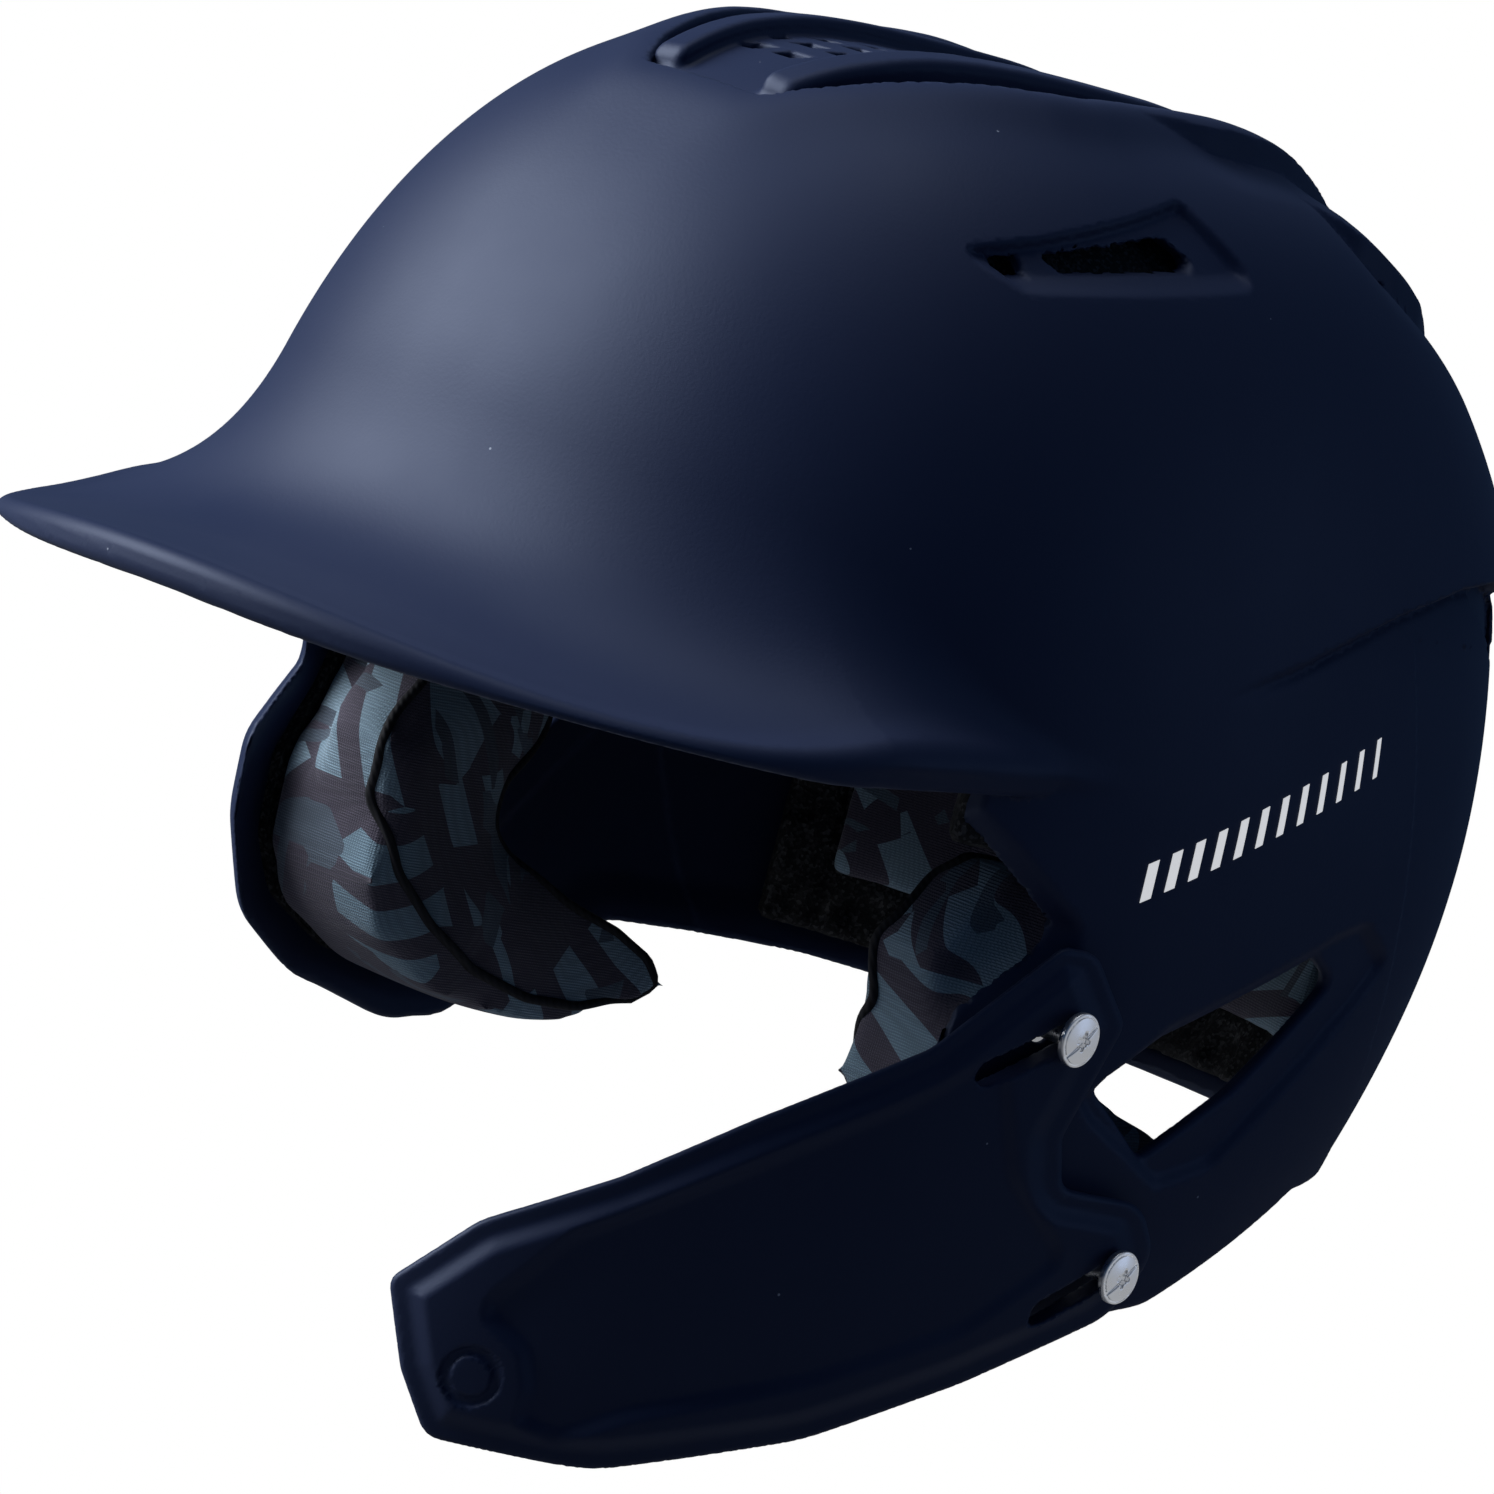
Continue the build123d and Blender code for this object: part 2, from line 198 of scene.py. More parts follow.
# Turning a distance function into a mesh.
CORNERS = [(i, j, k) for i in (0, 1) for j in (0, 1) for k in (0, 1)]
EDGES = [(a, b) for a in range(8) for b in range(a + 1, 8)
         if sum(abs(CORNERS[a][n] - CORNERS[b][n]) for n in range(3)) == 1]
# a coarse cell counts as near the surface within this many of its own widths
BAND_REACH = 1.9
SAMPLES_AT_ONCE = 400_000
LARGEST_CORRECTION = 0.4


def sample_band(distance, low, high, step, coarse=4):
    """The distance on a grid, worked out exactly only near the surface."""
    count = (np.ceil((high - low) / (step * coarse)).astype(int)) * coarse + 1
    axes = [low[n] + step * np.arange(count[n]) for n in range(3)]
    rough = distance(*np.meshgrid(*[a[::coarse] for a in axes], indexing="ij"))
    near = np.abs(rough) < step * coarse * BAND_REACH
    for axis in range(3):
        upper = tuple(slice(1, None) if n == axis else slice(None) for n in range(3))
        lower = tuple(slice(None, -1) if n == axis else slice(None) for n in range(3))
        grown = near.copy()
        grown[upper] |= near[lower]
        grown[lower] |= near[upper]
        near = grown
    pick = [np.minimum((np.arange(count[n]) + coarse // 2) // coarse, near.shape[n] - 1) for n in range(3)]
    values = rough[np.ix_(*pick)]
    mask = near[np.ix_(*pick)]
    i, j, k = np.nonzero(mask)
    for start in range(0, len(i), SAMPLES_AT_ONCE):
        part = slice(start, start + SAMPLES_AT_ONCE)
        values[i[part], j[part], k[part]] = distance(
            axes[0][i[part]], axes[1][j[part]], axes[2][k[part]])
    return values


def surface_net(distance, low, high, step, settle=2):
    """Vertices and quads of the zero surface, with each vertex moved onto it."""
    low, high = np.array(low, float), np.array(high, float)
    values = sample_band(distance, low, high, step)
    inside = values < 0
    shape = np.array(values.shape) - 1
    mixed = np.zeros(shape, bool)
    first = inside[:-1, :-1, :-1]
    for i, j, k in CORNERS[1:]:
        mixed |= inside[i:shape[0] + i, j:shape[1] + j, k:shape[2] + k] != first
    cells = np.argwhere(mixed)
    corner = np.array([values[cells[:, 0] + i, cells[:, 1] + j, cells[:, 2] + k] for i, j, k in CORNERS])
    total, number = np.zeros((len(cells), 3)), np.zeros(len(cells))
    for a, b in EDGES:
        va, vb = corner[a], corner[b]
        crossing = (va < 0) != (vb < 0)
        t = np.where(crossing, va / np.where(crossing, va - vb, 1), 0)
        point = np.array(CORNERS[a]) + t[:, None] * (np.array(CORNERS[b]) - np.array(CORNERS[a]))
        total += point * crossing[:, None]
        number += crossing
    points = low + step * (cells + total / number[:, None])
    index = np.full(shape, -1, np.int64)
    index[tuple(cells.T)] = np.arange(len(cells))
    quads = []
    for axis in range(3):
        other = [n for n in range(3) if n != axis]
        ahead = [slice(None)] * 3
        behind = [slice(None)] * 3
        ahead[axis], behind[axis] = slice(1, None), slice(None, -1)
        change = inside[tuple(ahead)] != inside[tuple(behind)]
        for n in other:
            edge = [slice(None)] * 3
            edge[n] = slice(0, 1)
            change[tuple(edge)] = False
            edge[n] = slice(-1, None)
            change[tuple(edge)] = False
        place = np.argwhere(change)
        step_a, step_b = np.eye(3, dtype=int)[other[0]], np.eye(3, dtype=int)[other[1]]
        ring = [place - step_a - step_b, place - step_b, place, place - step_a]
        quad = np.stack([index[tuple(r.T)] for r in ring], 1)
        starts_inside = inside[tuple(place.T)]
        turned = starts_inside if axis != 1 else ~starts_inside
        quad = np.where(turned[:, None], quad, quad[:, ::-1])
        quads.append(quad)
    quads = np.concatenate(quads)
    reach = step * 0.5
    for _ in range(settle):
        value = distance(*points.T)
        nudge = step * 0.2
        slope = np.stack([
            distance(*(points + nudge * np.eye(3)[n]).T) - value for n in range(3)], 1) / nudge
        size = np.maximum((slope**2).sum(1), 0.1)
        move = -value[:, None] * slope / size[:, None]
        length = np.linalg.norm(move, axis=1, keepdims=True)
        points = points + move * np.minimum(1, reach / np.maximum(length, 1e-9))
    return points, quads


def vertex_points(mesh):
    points = np.empty(len(mesh.vertices) * 3)
    mesh.vertices.foreach_get("co", points)
    return points.reshape(-1, 3)


def vertex_normals(mesh):
    normals = np.empty(len(mesh.vertices) * 3)
    mesh.vertex_normals.foreach_get("vector", normals)
    return normals.reshape(-1, 3)


def place_points(mesh, points):
    """Moves a mesh's vertices to points in metres."""
    mesh.vertices.foreach_set("co", points.astype(np.float32).ravel())
    mesh.update()


def mesh_piece(name, points, faces, smooth=True):
    """A Blender object from points in millimetres and faces of one size."""
    mesh = bpy.data.meshes.new(name)
    faces = np.asarray(faces)
    mesh.vertices.add(len(points))
    mesh.vertices.foreach_set("co", (np.asarray(points) * MM).astype(np.float32).ravel())
    mesh.loops.add(faces.size)
    mesh.loops.foreach_set("vertex_index", faces.astype(np.int32).ravel())
    mesh.polygons.add(len(faces))
    size = faces.shape[1]
    mesh.polygons.foreach_set("loop_start", np.arange(0, faces.size, size, dtype=np.int32))
    mesh.polygons.foreach_set("loop_total", np.full(len(faces), size, dtype=np.int32))
    mesh.polygons.foreach_set("use_smooth", np.full(len(faces), smooth, dtype=bool))
    mesh.update(calc_edges=True)
    mesh.validate()
    piece = bpy.data.objects.new(name, mesh)
    bpy.context.collection.objects.link(piece)
    return piece


def slope_at(distance, points, nudge=0.25):
    """The outward direction of a distance function at some points."""
    steps = nudge * np.eye(3)
    slope = np.stack([distance(*(points + s).T) - distance(*(points - s).T) for s in steps], 1)
    return slope / np.maximum(np.linalg.norm(slope, axis=1, keepdims=True), 1e-9)


def net_piece(name, distance, low, high, step, limit=95_000):
    """A meshed distance function, thinned where it is smooth, with its exact normals."""
    points, quads = surface_net(distance, low, high, step)
    piece = mesh_piece(name, points, quads)
    drop_islands(piece)
    if len(piece.data.polygons) > limit:
        thin = piece.modifiers.new("thin", "DECIMATE")
        thin.ratio = limit / len(piece.data.polygons)
        bake_modifiers(piece)
    points = vertex_points(piece.data) / MM
    error = np.clip(distance(*points.T), -LARGEST_CORRECTION, LARGEST_CORRECTION)
    points = points - slope_at(distance, points) * error[:, None]
    place_points(piece.data, points * MM)
    piece.data.normals_split_custom_set_from_vertices(slope_at(distance, points).astype(float).tolist())
    return piece


def bake_modifiers(piece):
    """The piece's mesh becomes what its modifiers make of it."""
    bpy.context.view_layer.update()
    shown = piece.evaluated_get(bpy.context.evaluated_depsgraph_get())
    mesh = bpy.data.meshes.new_from_object(shown)
    piece.modifiers.clear()
    old, piece.data = piece.data, mesh
    bpy.data.meshes.remove(old)


def drop_islands(piece, share=0.02):
    """Deletes loose scraps smaller than a share of the whole mesh."""
    bm = bmesh.new()
    bm.from_mesh(piece.data)
    seen, scraps = set(), []
    for start in bm.verts:
        if start in seen:
            continue
        island, queue = [start], [start]
        seen.add(start)
        while queue:
            for edge in queue.pop().link_edges:
                for vertex in edge.verts:
                    if vertex not in seen:
                        seen.add(vertex)
                        island.append(vertex)
                        queue.append(vertex)
        if len(island) < share * len(bm.verts):
            scraps.extend(island)
    bmesh.ops.delete(bm, geom=scraps, context="VERTS")
    bm.to_mesh(piece.data)
    bm.free()


# Shell
def rim_outline(jaw, rounding):
    """What is cut away below the rim, in the side view, past the three points of the jaw."""
    return Outline(
        [(-230, -3), (-74, -3), (-63, -9), (-46, -19.5), (-46, -24), (-59, -38), (-59, -52), *jaw,
         (10, -85), (47, -62), (80, -59), (160, -58), (160, -150), (-230, -150)],
        [0, 6, 10, 3, 3, 8, 14, 14, rounding, 20, 14, 6, 20, 0, 0, 0], step=1.0)


def both_sides(points, radii, **settings):
    """An outline in plan from its points on one side."""
    return Outline(points + [(-x, y) for x, y in reversed(points)], radii + radii[::-1], **settings)


RIM = rim_outline([(-50, -70), (-30, -81), (-5, -87)], 20)
# on the left the shell reaches lower, behind the jaw guard's lower slot
RIM_LEFT = rim_outline([(-50, -72), (-38, -87), (-18, -91)], 10)
EAR_HOLE = Outline([(-29, -46), (-15, -36), (21, -18), (30, -22), (10, -44), (-8, -58)],
                   [2.5, 6, 3, 3, 6, 3])
EAR_RECESS = Outline([(-33, -49), (-16, -33), (24, -13), (33, -10), (47, -17), (40, -25), (11, -58),
                      (-2.5, -63), (-27, -53)], [4, 8, 6, 6, 5, 6, 8, 6, 5])
VENT_RECESS = Outline([(-81, 85), (-26, 102.5), (-13, 92), (-71, 81.5)], [3, 4, 3, 4])
VENT_SMALL = Outline([(-75, 84.5), (-68, 86.5), (-68, 83.5), (-72, 82.5)], 0.8, step=0.25)
VENT_LARGE = Outline([(-64, 87.5), (-34, 95.5), (-28, 93), (-30, 91), (-60, 85.5)], 1.0, step=0.25)
REAR_VENT = Outline([(50, 49.5), (62, 51), (78, 47), (84, 36), (72, 39), (60, 45)], 1.5)
CROWN_OPENING = both_sides([(13, -91.5), (20, -80), (26.5, -63), (32, -45), (33, -34), (31, -20),
                            (30.5, 0), (30, 22), (27, 45), (18, 70)],
                           [6, 10, 14, 10, 3, 10, 20, 20, 20, 8])
# the lower edges of two layers that sweep back from the crown
LAYER_INNER = Outline([(0, -60), (28, -34), (36, -18), (38.5, 0), (37.5, 15), (34, 32), (28, 55), (18, 84),
                       (0, 96)], [0, 4, 8, 20, 20, 20, 20, 10, 0], margin=40)
LAYER_OUTER = Outline([(0, 0), (38, 10), (47, 24), (52, 34), (53.5, 45), (50, 60), (41, 78), (26, 95),
                       (0, 104)], [0, 4, 8, 10, 12, 20, 20, 10, 0], margin=40)
CREASE_Y = (-30, -23, -7, 6.5, 21, 42, 60, 90, 120)
CREASE_Z = (23, 26, 32, 38, 44, 50, 52, 49, 47)
BRIM_ARCH, BRIM_CORNER_DROP, BRIM_THICKNESS = 0.00072, 5.0, 4.0
BRIM_LIP, BRIM_EDGE_ROUND, BRIM_END = 2.2, 2.5, -40
CURL_HEIGHT, CURL_SPREAD, UNDERCUT, CREASE_DEPTH = 2.6, 26, 0.9, 0.8
VENT_DEPTH, EAR_DEPTH, PARTING_DEPTH = 1.9, 1.5, 0.35
LAYER_RAISE, LAYER_RAISE_SPREAD, LAYER_GROOVE, LAYER_GROOVE_REACH = 1.7, 9.0, 2.2, 13.0
LAYER_FADE_LOW, LAYER_FADE_HIGH = 40, 60
CROWN_LIP_HEIGHT, CROWN_LIP_MORE = 1.2, 1.6
BROW_LINE = -73
RIM_THICKENING, RIM_BAND, RIM_ROUND, VENT_ROUND = 1.4, (3.0, 10.0), 1.3, 0.5
REAR_POCKET_DEPTH, SCREW_HOLE_RADIUS = 2.4, 3.05
CROWN_CUT_HEIGHT = 60


def brim_top(x, y):
    """Height of the brim's upper face: arched across, lower forward, lowest at its corners."""
    corner = BRIM_CORNER_DROP * np.clip((-y - 105) / 60, 0, 1.4) * (x / 75) ** 2
    return BRIM_ROOT + BRIM_THICKNESS - BRIM_ARCH * x**2 - corner + BRIM_FALL * (y + BRIM_BACK)


def brim_distance(x, y, z):
    centre = BRIM_RADIUS - BRIM_LENGTH
    plan = np.where(y < centre, np.hypot(x, y - centre), np.abs(x)) - BRIM_RADIUS
    top = brim_top(x, y)
    lip = BRIM_LIP * (1 - ease(1.5, 8.0, -plan))
    slab = np.maximum(z - top - 0.15 * lip, top - BRIM_THICKNESS - lip - z)
    slab = slab / np.sqrt(1 + (2 * BRIM_ARCH * x) ** 2)
    return np.maximum(round_max(slab, plan, BRIM_EDGE_ROUND), y - BRIM_END)


def shell_relief(x, y, z):
    """How far the moulded surface stands above the plain form."""
    side = np.abs(x)
    above = z - np.interp(y, CREASE_Y, CREASE_Z)
    reach = ease(-30, 50, y)
    curl = np.exp(-((np.maximum(above, 0) / CURL_SPREAD) ** 2)) * ease(-1.4, 0.8, above)
    curl = CURL_HEIGHT * reach * curl
    under = -UNDERCUT * reach * (1 - ease(-2.0, 0.4, above)) * ease(-75, -12, above)
    crease = -CREASE_DEPTH * ease(-30, 0, y) * np.exp(-(((above + 1.2) / 1.2) ** 2))
    relief = curl + under + crease
    vents = VENT_RECESS(y, z)
    relief = relief - VENT_DEPTH * (1 - ease(-2.2, 0.8, vents)) * (side > 20)
    ear = EAR_RECESS(y, z)
    relief = relief - EAR_DEPTH * (1 - ease(-2.6, 0.6, ear)) * (side > 40)
    opening = CROWN_OPENING(x, y)
    for layer, strength in ((LAYER_INNER(side, y), ease(-20, 6, y) * (1 - ease(66, 92, y))),
                            (LAYER_OUTER(side, y), ease(20, 38, y) * (1 - ease(74, 100, y)))):
        raised = LAYER_RAISE * np.exp(-((np.minimum(layer, 0) / LAYER_RAISE_SPREAD) ** 2))
        groove = -LAYER_GROOVE * (1 - np.clip(layer / LAYER_GROOVE_REACH, 0, 1)) ** 1.6
        step = ease(-0.7, 0.7, layer)
        shown = strength * ease(LAYER_FADE_LOW, LAYER_FADE_HIGH, z)
        relief = relief + shown * (raised * (1 - step) + groove * step)
    high = ease(60, 85, z)
    lip = np.exp(-(((opening - 3.5) / 6.5) ** 2)) * high
    middle = ease(-80, -40, y) * (1 - ease(10, 60, y))
    relief = relief + lip * (CROWN_LIP_HEIGHT + CROWN_LIP_MORE * middle)
    parting = y - (29 + (40 - z) * 0.35)
    relief = relief - PARTING_DEPTH * ease(-0.6, 0.6, parting) * (z < 40) * (y > 0) * (side > 40)
    return relief


def shell_outer(x, y, z):
    """Distance to the dome and brim together, with the plain dome's distance and the relief."""
    dome = head_distance(x, y, z)
    relief = shell_relief(x, y, z)
    body = dome - relief
    roof = brim_top(x, y) - 2.0
    face = np.maximum(z - roof, y - BROW_LINE)
    body = np.maximum(body, -face)
    brim = brim_distance(x, y, z)
    spread = 4.0 + 26.0 * (1 - ease(-112, -58, y))
    blended = soft_min(body, brim, spread)
    share = ease(-2.5, 1.5, z - roof)
    return share * blended + (1 - share) * np.minimum(body, brim), dome, relief


def shell_distance(x, y, z):
    outer, dome, relief = shell_outer(x, y, z)
    # the face opening's edge slants, so that its inner side stands further forward
    slant = 1.1 * np.clip(-dome, 0, 4.4) * (1 - ease(-40, -20, y))
    rim = np.where(x > 0, RIM_LEFT(y + slant, z), RIM(y + slant, z))
    pocket = REAR_VENT(y, z)
    thick = WALL + RIM_THICKENING * (1 - ease(*RIM_BAND, rim)) + np.clip(-relief, 0, VENT_DEPTH)
    thick = thick + RIM_THICKENING * (1 - ease(0.0, 4.0, pocket))
    wall = np.maximum(outer, -(dome + thick))
    cut = np.maximum(-rim, -EAR_HOLE(y, z))
    solid = round_max(wall, cut, RIM_ROUND)
    crown = np.minimum(-CROWN_OPENING(x, y), z - CROWN_CUT_HEIGHT)
    solid = round_max(solid, crown, RIM_ROUND)
    solid = round_max(solid, -np.minimum(VENT_SMALL(y, z), VENT_LARGE(y, z)), VENT_ROUND)
    solid = round_max(solid, -np.maximum(pocket, -(dome + REAR_POCKET_DEPTH)), VENT_ROUND)
    for sy, sz in (UPPER_SCREW, LOWER_SCREW):
        bore = SCREW_HOLE_RADIUS - np.hypot(y - sy, z - sz)
        solid = np.maximum(solid, np.where(x > 0, bore, -50.0))
    return solid


shell = net_piece("shell_body", shell_distance, (-103, -195, -92), (103, 124, 122), 1.15)
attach(shell, "helmet")
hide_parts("shell")

# Crown grille: a perforated panel with two raised ribs
RIB = Outline([(9, -88), (12, -68), (14, -40), (14.5, 0), (13.5, 35), (11, 64), (17, 64), (20, 35),
               (21.5, 0), (21, -40), (19, -68), (16, -88)],
              [2, 10, 20, 30, 20, 2, 2, 20, 30, 20, 10, 2])
GRILLE_PANEL = both_sides([(21, -95), (33, -68), (40, -36), (41, 5), (36, 42), (18, 76)],
                          [7, 12, 14, 16, 16, 9], step=1.0)
HOLE_PITCH, HOLE_ROW, HOLE_HALF, HOLE_SLANT = 8.0, 8.8, (2.3, 1.9), 0.35
FIRST_ROW, HOLES_HALF_WIDTH, HOLES_MIDDLE, HOLES_REACH = -66, 12.0, -8, 68
PANEL_SUNK, PANEL_UNDERSIDE, RIB_HEIGHT = 1.9, 6.2, 1.6


def grille_distance(x, y, z):
    dome = head_distance(x, y, z)
    side = np.abs(x)
    underside = -(dome + PANEL_UNDERSIDE)
    panel = np.maximum(dome + PANEL_SUNK + 2.5 * ease(15, 21, side), underside)
    panel = round_max(panel, GRILLE_PANEL(x, y), 0.8)
    row = np.floor((y - FIRST_ROW) / HOLE_ROW)
    local_y = (y - FIRST_ROW) - (row + 0.5) * HOLE_ROW
    shifted = x - HOLE_SLANT * local_y + np.where(row % 2 == 0, 0.0, HOLE_PITCH / 2)
    local_x = (shifted / HOLE_PITCH - np.floor(shifted / HOLE_PITCH) - 0.5) * HOLE_PITCH
    hole = np.maximum(np.abs(local_x) - HOLE_HALF[0], np.abs(local_y) - HOLE_HALF[1])
    field = np.maximum(side - HOLES_HALF_WIDTH, np.abs(y - HOLES_MIDDLE) - HOLES_REACH)
    hole = np.maximum(hole, field)
    panel = round_max(panel, -hole, 0.5)
    rib = round_max(np.maximum(dome - RIB_HEIGHT, underside), RIB(side, y), 1.8)
    return np.maximum(soft_min(panel, rib, 1.6), CROWN_CUT_HEIGHT - z)


grille = net_piece("crown_panel", grille_distance, (-45, -100, 56), (45, 80, 122), 0.9)
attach(grille, "helmet")
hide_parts("crown_grille")

# Jaw guard
# the guard's outlines are drawn in a plane turned this way in plan: along it, and out of it
GUARD_S, GUARD_D = (0.7786, 0.6276), (0.6276, -0.7786)
GUARD_EDGE = Outline(
    [(-51, -104), (-39, -90), (-19, -77), (0, -62), (25, -44), (42, -22.5), (48, -22.5),
     (56.5, -34), (51.5, -55), (54, -64), (69, -65), (74, -74), (69, -86),
     (47, -101), (23, -115), (-10, -127), (-38, -128), (-45, -118)],
    [3, 14, 14, 10, 10, 3, 5, 4, 3, 3, 7, 8, 12, 40, 40, 30, 5, 8])
GUARD_PANEL = Outline(
    [(-24, -87), (23, -53), (38, -40), (46, -62), (60, -76), (45, -92), (22, -105), (-6, -117),
     (-17, -124), (-25, -122), (-24.7, -116), (-27, -110), (-34.4, -106), (-35, -102)],
    [6, 10, 5, 9, 6, 20, 20, 12, 5, 3, 3, 4, 3, 5])
EMBLEM, EMBLEM_RADIUS, EMBLEM_DEPTH = (-33.4, -115.6), 4.3, 0.7
EDGE_STEP, PANEL_DEPTH, PANEL_SHALLOWER, GUARD_ROUND = 1.7, 1.7, 0.7, 0.9
GUARD_START, SHELL_CLEARANCE, RELIEF_DEPTH = 5, 0.2, 1.2


def guard_solid(x, y, z):
    g = guard_distance(x, y, z)
    s = GUARD_S[0] * x + GUARD_S[1] * y
    ahead = GUARD_D[0] * x + GUARD_D[1] * y
    edge = GUARD_EDGE(s, z)
    thick = GUARD_WALL - EDGE_STEP * ease(-6.2, -2.5, edge)
    recess = PANEL_DEPTH - PANEL_SHALLOWER * ease(5, 30, s)
    thick = thick - recess * (1 - ease(-3.0, 0.4, GUARD_PANEL(s, z)))
    ring = np.hypot(s - EMBLEM[0], z - EMBLEM[1])
    thick = thick - EMBLEM_DEPTH * (1 - ease(0.5, 1.1, np.abs(ring - EMBLEM_RADIUS)))
    solid = round_max(np.maximum(g - thick, -g), edge, GUARD_ROUND)
    solid = np.maximum(solid, GUARD_START - ahead)
    for sy, sz in (UPPER_SCREW, LOWER_SCREW):
        dy, dz = y - sy, z - sz
        along = -(dy * SLIDE[1] + dz * SLIDE[2]) / (SLIDE[1] ** 2 + SLIDE[2] ** 2)
        along = np.clip(along, 0, SLIDE_TRAVEL)
        slot = np.hypot(dy + along * SLIDE[1], dz + along * SLIDE[2])
        solid = round_max(solid, SLOT_HALF + 0.3 - slot, 0.4)
    # cut back from the plain shell form at the middle and the end of the slide
    for share in (0.5, 1.0):
        dx, dy, dz = SLIDE * SLIDE_TRAVEL * share
        hull = np.maximum(head_distance(x + dx, y + dy, z + dz), -RIM_LEFT(y + dy, z + dz))
        solid = np.maximum(solid, np.minimum(SHELL_CLEARANCE - hull, RELIEF_DEPTH - g))
    return solid


guard = net_piece("guard_body", guard_solid, (20, -150, -134), (108, 8, -14), 0.85)
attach(guard, "guard")
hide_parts("jaw_guard")

# Materials
class Paint:
    """A node material built up one node at a time."""

    def __init__(self, name):
        self.material = bpy.data.materials.new(name)
        self.material.use_nodes = True
        self.tree = self.material.node_tree
        self.tree.nodes.clear()
        self.out = self.add("ShaderNodeOutputMaterial")
        self.shader = self.add("ShaderNodeBsdfPrincipled")
        self.tree.links.new(self.shader.outputs[0], self.out.inputs["Surface"])
        self.place = self.add("ShaderNodeTexCoord").outputs["Object"]

    def add(self, kind, inputs=None, **settings):
        node = self.tree.nodes.new(kind)
        for key, value in settings.items():
            setattr(node, key, value)
        for key, value in (inputs or {}).items():
            self.put(node.inputs[key], value)
        return node

    def put(self, socket, value):
        if isinstance(value, bpy.types.NodeSocket):
            self.tree.links.new(value, socket)
        else:
            socket.default_value = value

    def set(self, **inputs):
        for key, value in inputs.items():
            self.put(self.shader.inputs[key.replace("_", " ")], value)

    def maths(self, operation, a, b=0.0):
        return self.add("ShaderNodeMath", {0: a, 1: b}, operation=operation).outputs[0]

    def noise(self, scale, detail=2.0):
        node = self.add("ShaderNodeTexNoise", {"Vector": self.place, "Scale": scale, "Detail": detail})
        return node.outputs["Fac"]

    def vectors(self, operation, a, b=(0.0, 0.0, 0.0)):
        return self.add("ShaderNodeVectorMath", {0: a, 1: b}, operation=operation).outputs

    def channels(self, colour):
        return self.add("ShaderNodeSeparateColor", {0: colour}).outputs

    def cells(self, scale):
        return self.add("ShaderNodeTexVoronoi", {"Vector": self.place, "Scale": scale}, feature="F1")

    def waves(self, direction, scale, distortion):
        inputs = {"Vector": self.place, "Scale": scale, "Distortion": distortion}
        return self.add("ShaderNodeTexWave", inputs, wave_type="BANDS", bands_direction=direction)

    def steps(self, value, *stops):
        node = self.add("ShaderNodeValToRGB", {"Fac": value})
        ramp = node.color_ramp
        while len(ramp.elements) < len(stops):
            ramp.elements.new(0.5)
        for element, (where, colour) in zip(ramp.elements, stops):
            element.position = where
            element.color = (*colour, 1)
        return node.outputs["Color"]

    def mix(self, share, a, b):
        node = self.add("ShaderNodeMix", data_type="RGBA")
        for index, value in ((0, share), (6, a), (7, b)):
            if isinstance(value, tuple):
                value = (*value, 1)
            self.put(node.inputs[index], value)
        return node.outputs[2]

    def scale_range(self, value, low, high, out_low, out_high):
        node = self.add("ShaderNodeMapRange", {"Value": value, "From Min": low, "From Max": high,
                                               "To Min": out_low, "To Max": out_high})
        return node.outputs[0]

    def bump(self, height, strength, distance):
        node = self.add("ShaderNodeBump", {"Height": height, "Strength": strength, "Distance": distance})
        return node.outputs[0]


NAVY_DEEP, NAVY_PALER = (0.0062, 0.0125, 0.046), (0.0080, 0.0160, 0.055)


def navy_plastic(name, tint=1.0):
    """Matte soft-touch navy with a fine grain, slight cloudiness and a few specks of dust."""
    p = Paint(name)
    cloud = p.noise(9.0, 3.0)
    base = p.mix(cloud, tuple(tint * c for c in NAVY_DEEP), tuple(tint * c for c in NAVY_PALER))
    edge = p.add("ShaderNodeNewGeometry").outputs["Pointiness"]
    # Lighter navy on sharp convex edges, where pointiness is high.
    lighter_edges = p.scale_range(edge, 0.53, 0.62, 0.0, 0.5)
    base = p.mix(lighter_edges, base, (0.03, 0.045, 0.09))
    specks = p.cells(95.0)
    dust = p.maths("LESS_THAN", specks.outputs["Distance"], 0.022)
    chance = p.channels(specks.outputs["Color"])[0]
    rare = p.maths("GREATER_THAN", chance, 0.8)
    base = p.mix(p.maths("MULTIPLY", dust, rare), base, (0.3, 0.33, 0.4))
    grain = p.noise(1500.0, 1.0)
    p.set(Base_Color=base, Roughness=p.scale_range(p.noise(22.0, 4.0), 0.3, 0.7, 0.50, 0.58),
          Specular_IOR_Level=0.55, Specular_Tint=(0.66, 0.76, 1.0, 1.0),
          Normal=p.bump(grain, 0.10, 0.0002))
    p.set(Sheen_Weight=0.05, Sheen_Roughness=0.6, Sheen_Tint=(0.42, 0.54, 0.95, 1.0))
    return p.material


def foam(name, ground, light, size=1700.0):
    """Closed-cell foam: a dark ground with pale specks and a pitted skin."""
    p = Paint(name)
    cell = p.cells(size)
    chance = p.channels(cell.outputs["Color"])[0]
    between = tuple(0.5 * (a + b) for a, b in zip(ground, light))
    fleck = p.steps(chance, (0.0, ground), (0.55, ground), (0.8, between), (0.97, light))
    shade = p.mix(p.noise(60.0, 3.0), fleck, ground)
    pits = p.maths("MULTIPLY", cell.outputs["Distance"], p.noise(size * 2.2, 2.0))
    p.set(Base_Color=shade, Roughness=p.scale_range(chance, 0, 1, 0.62, 0.95), Specular_IOR_Level=0.35,
          Normal=p.bump(pits, 0.5, 0.0003))
    return p.material


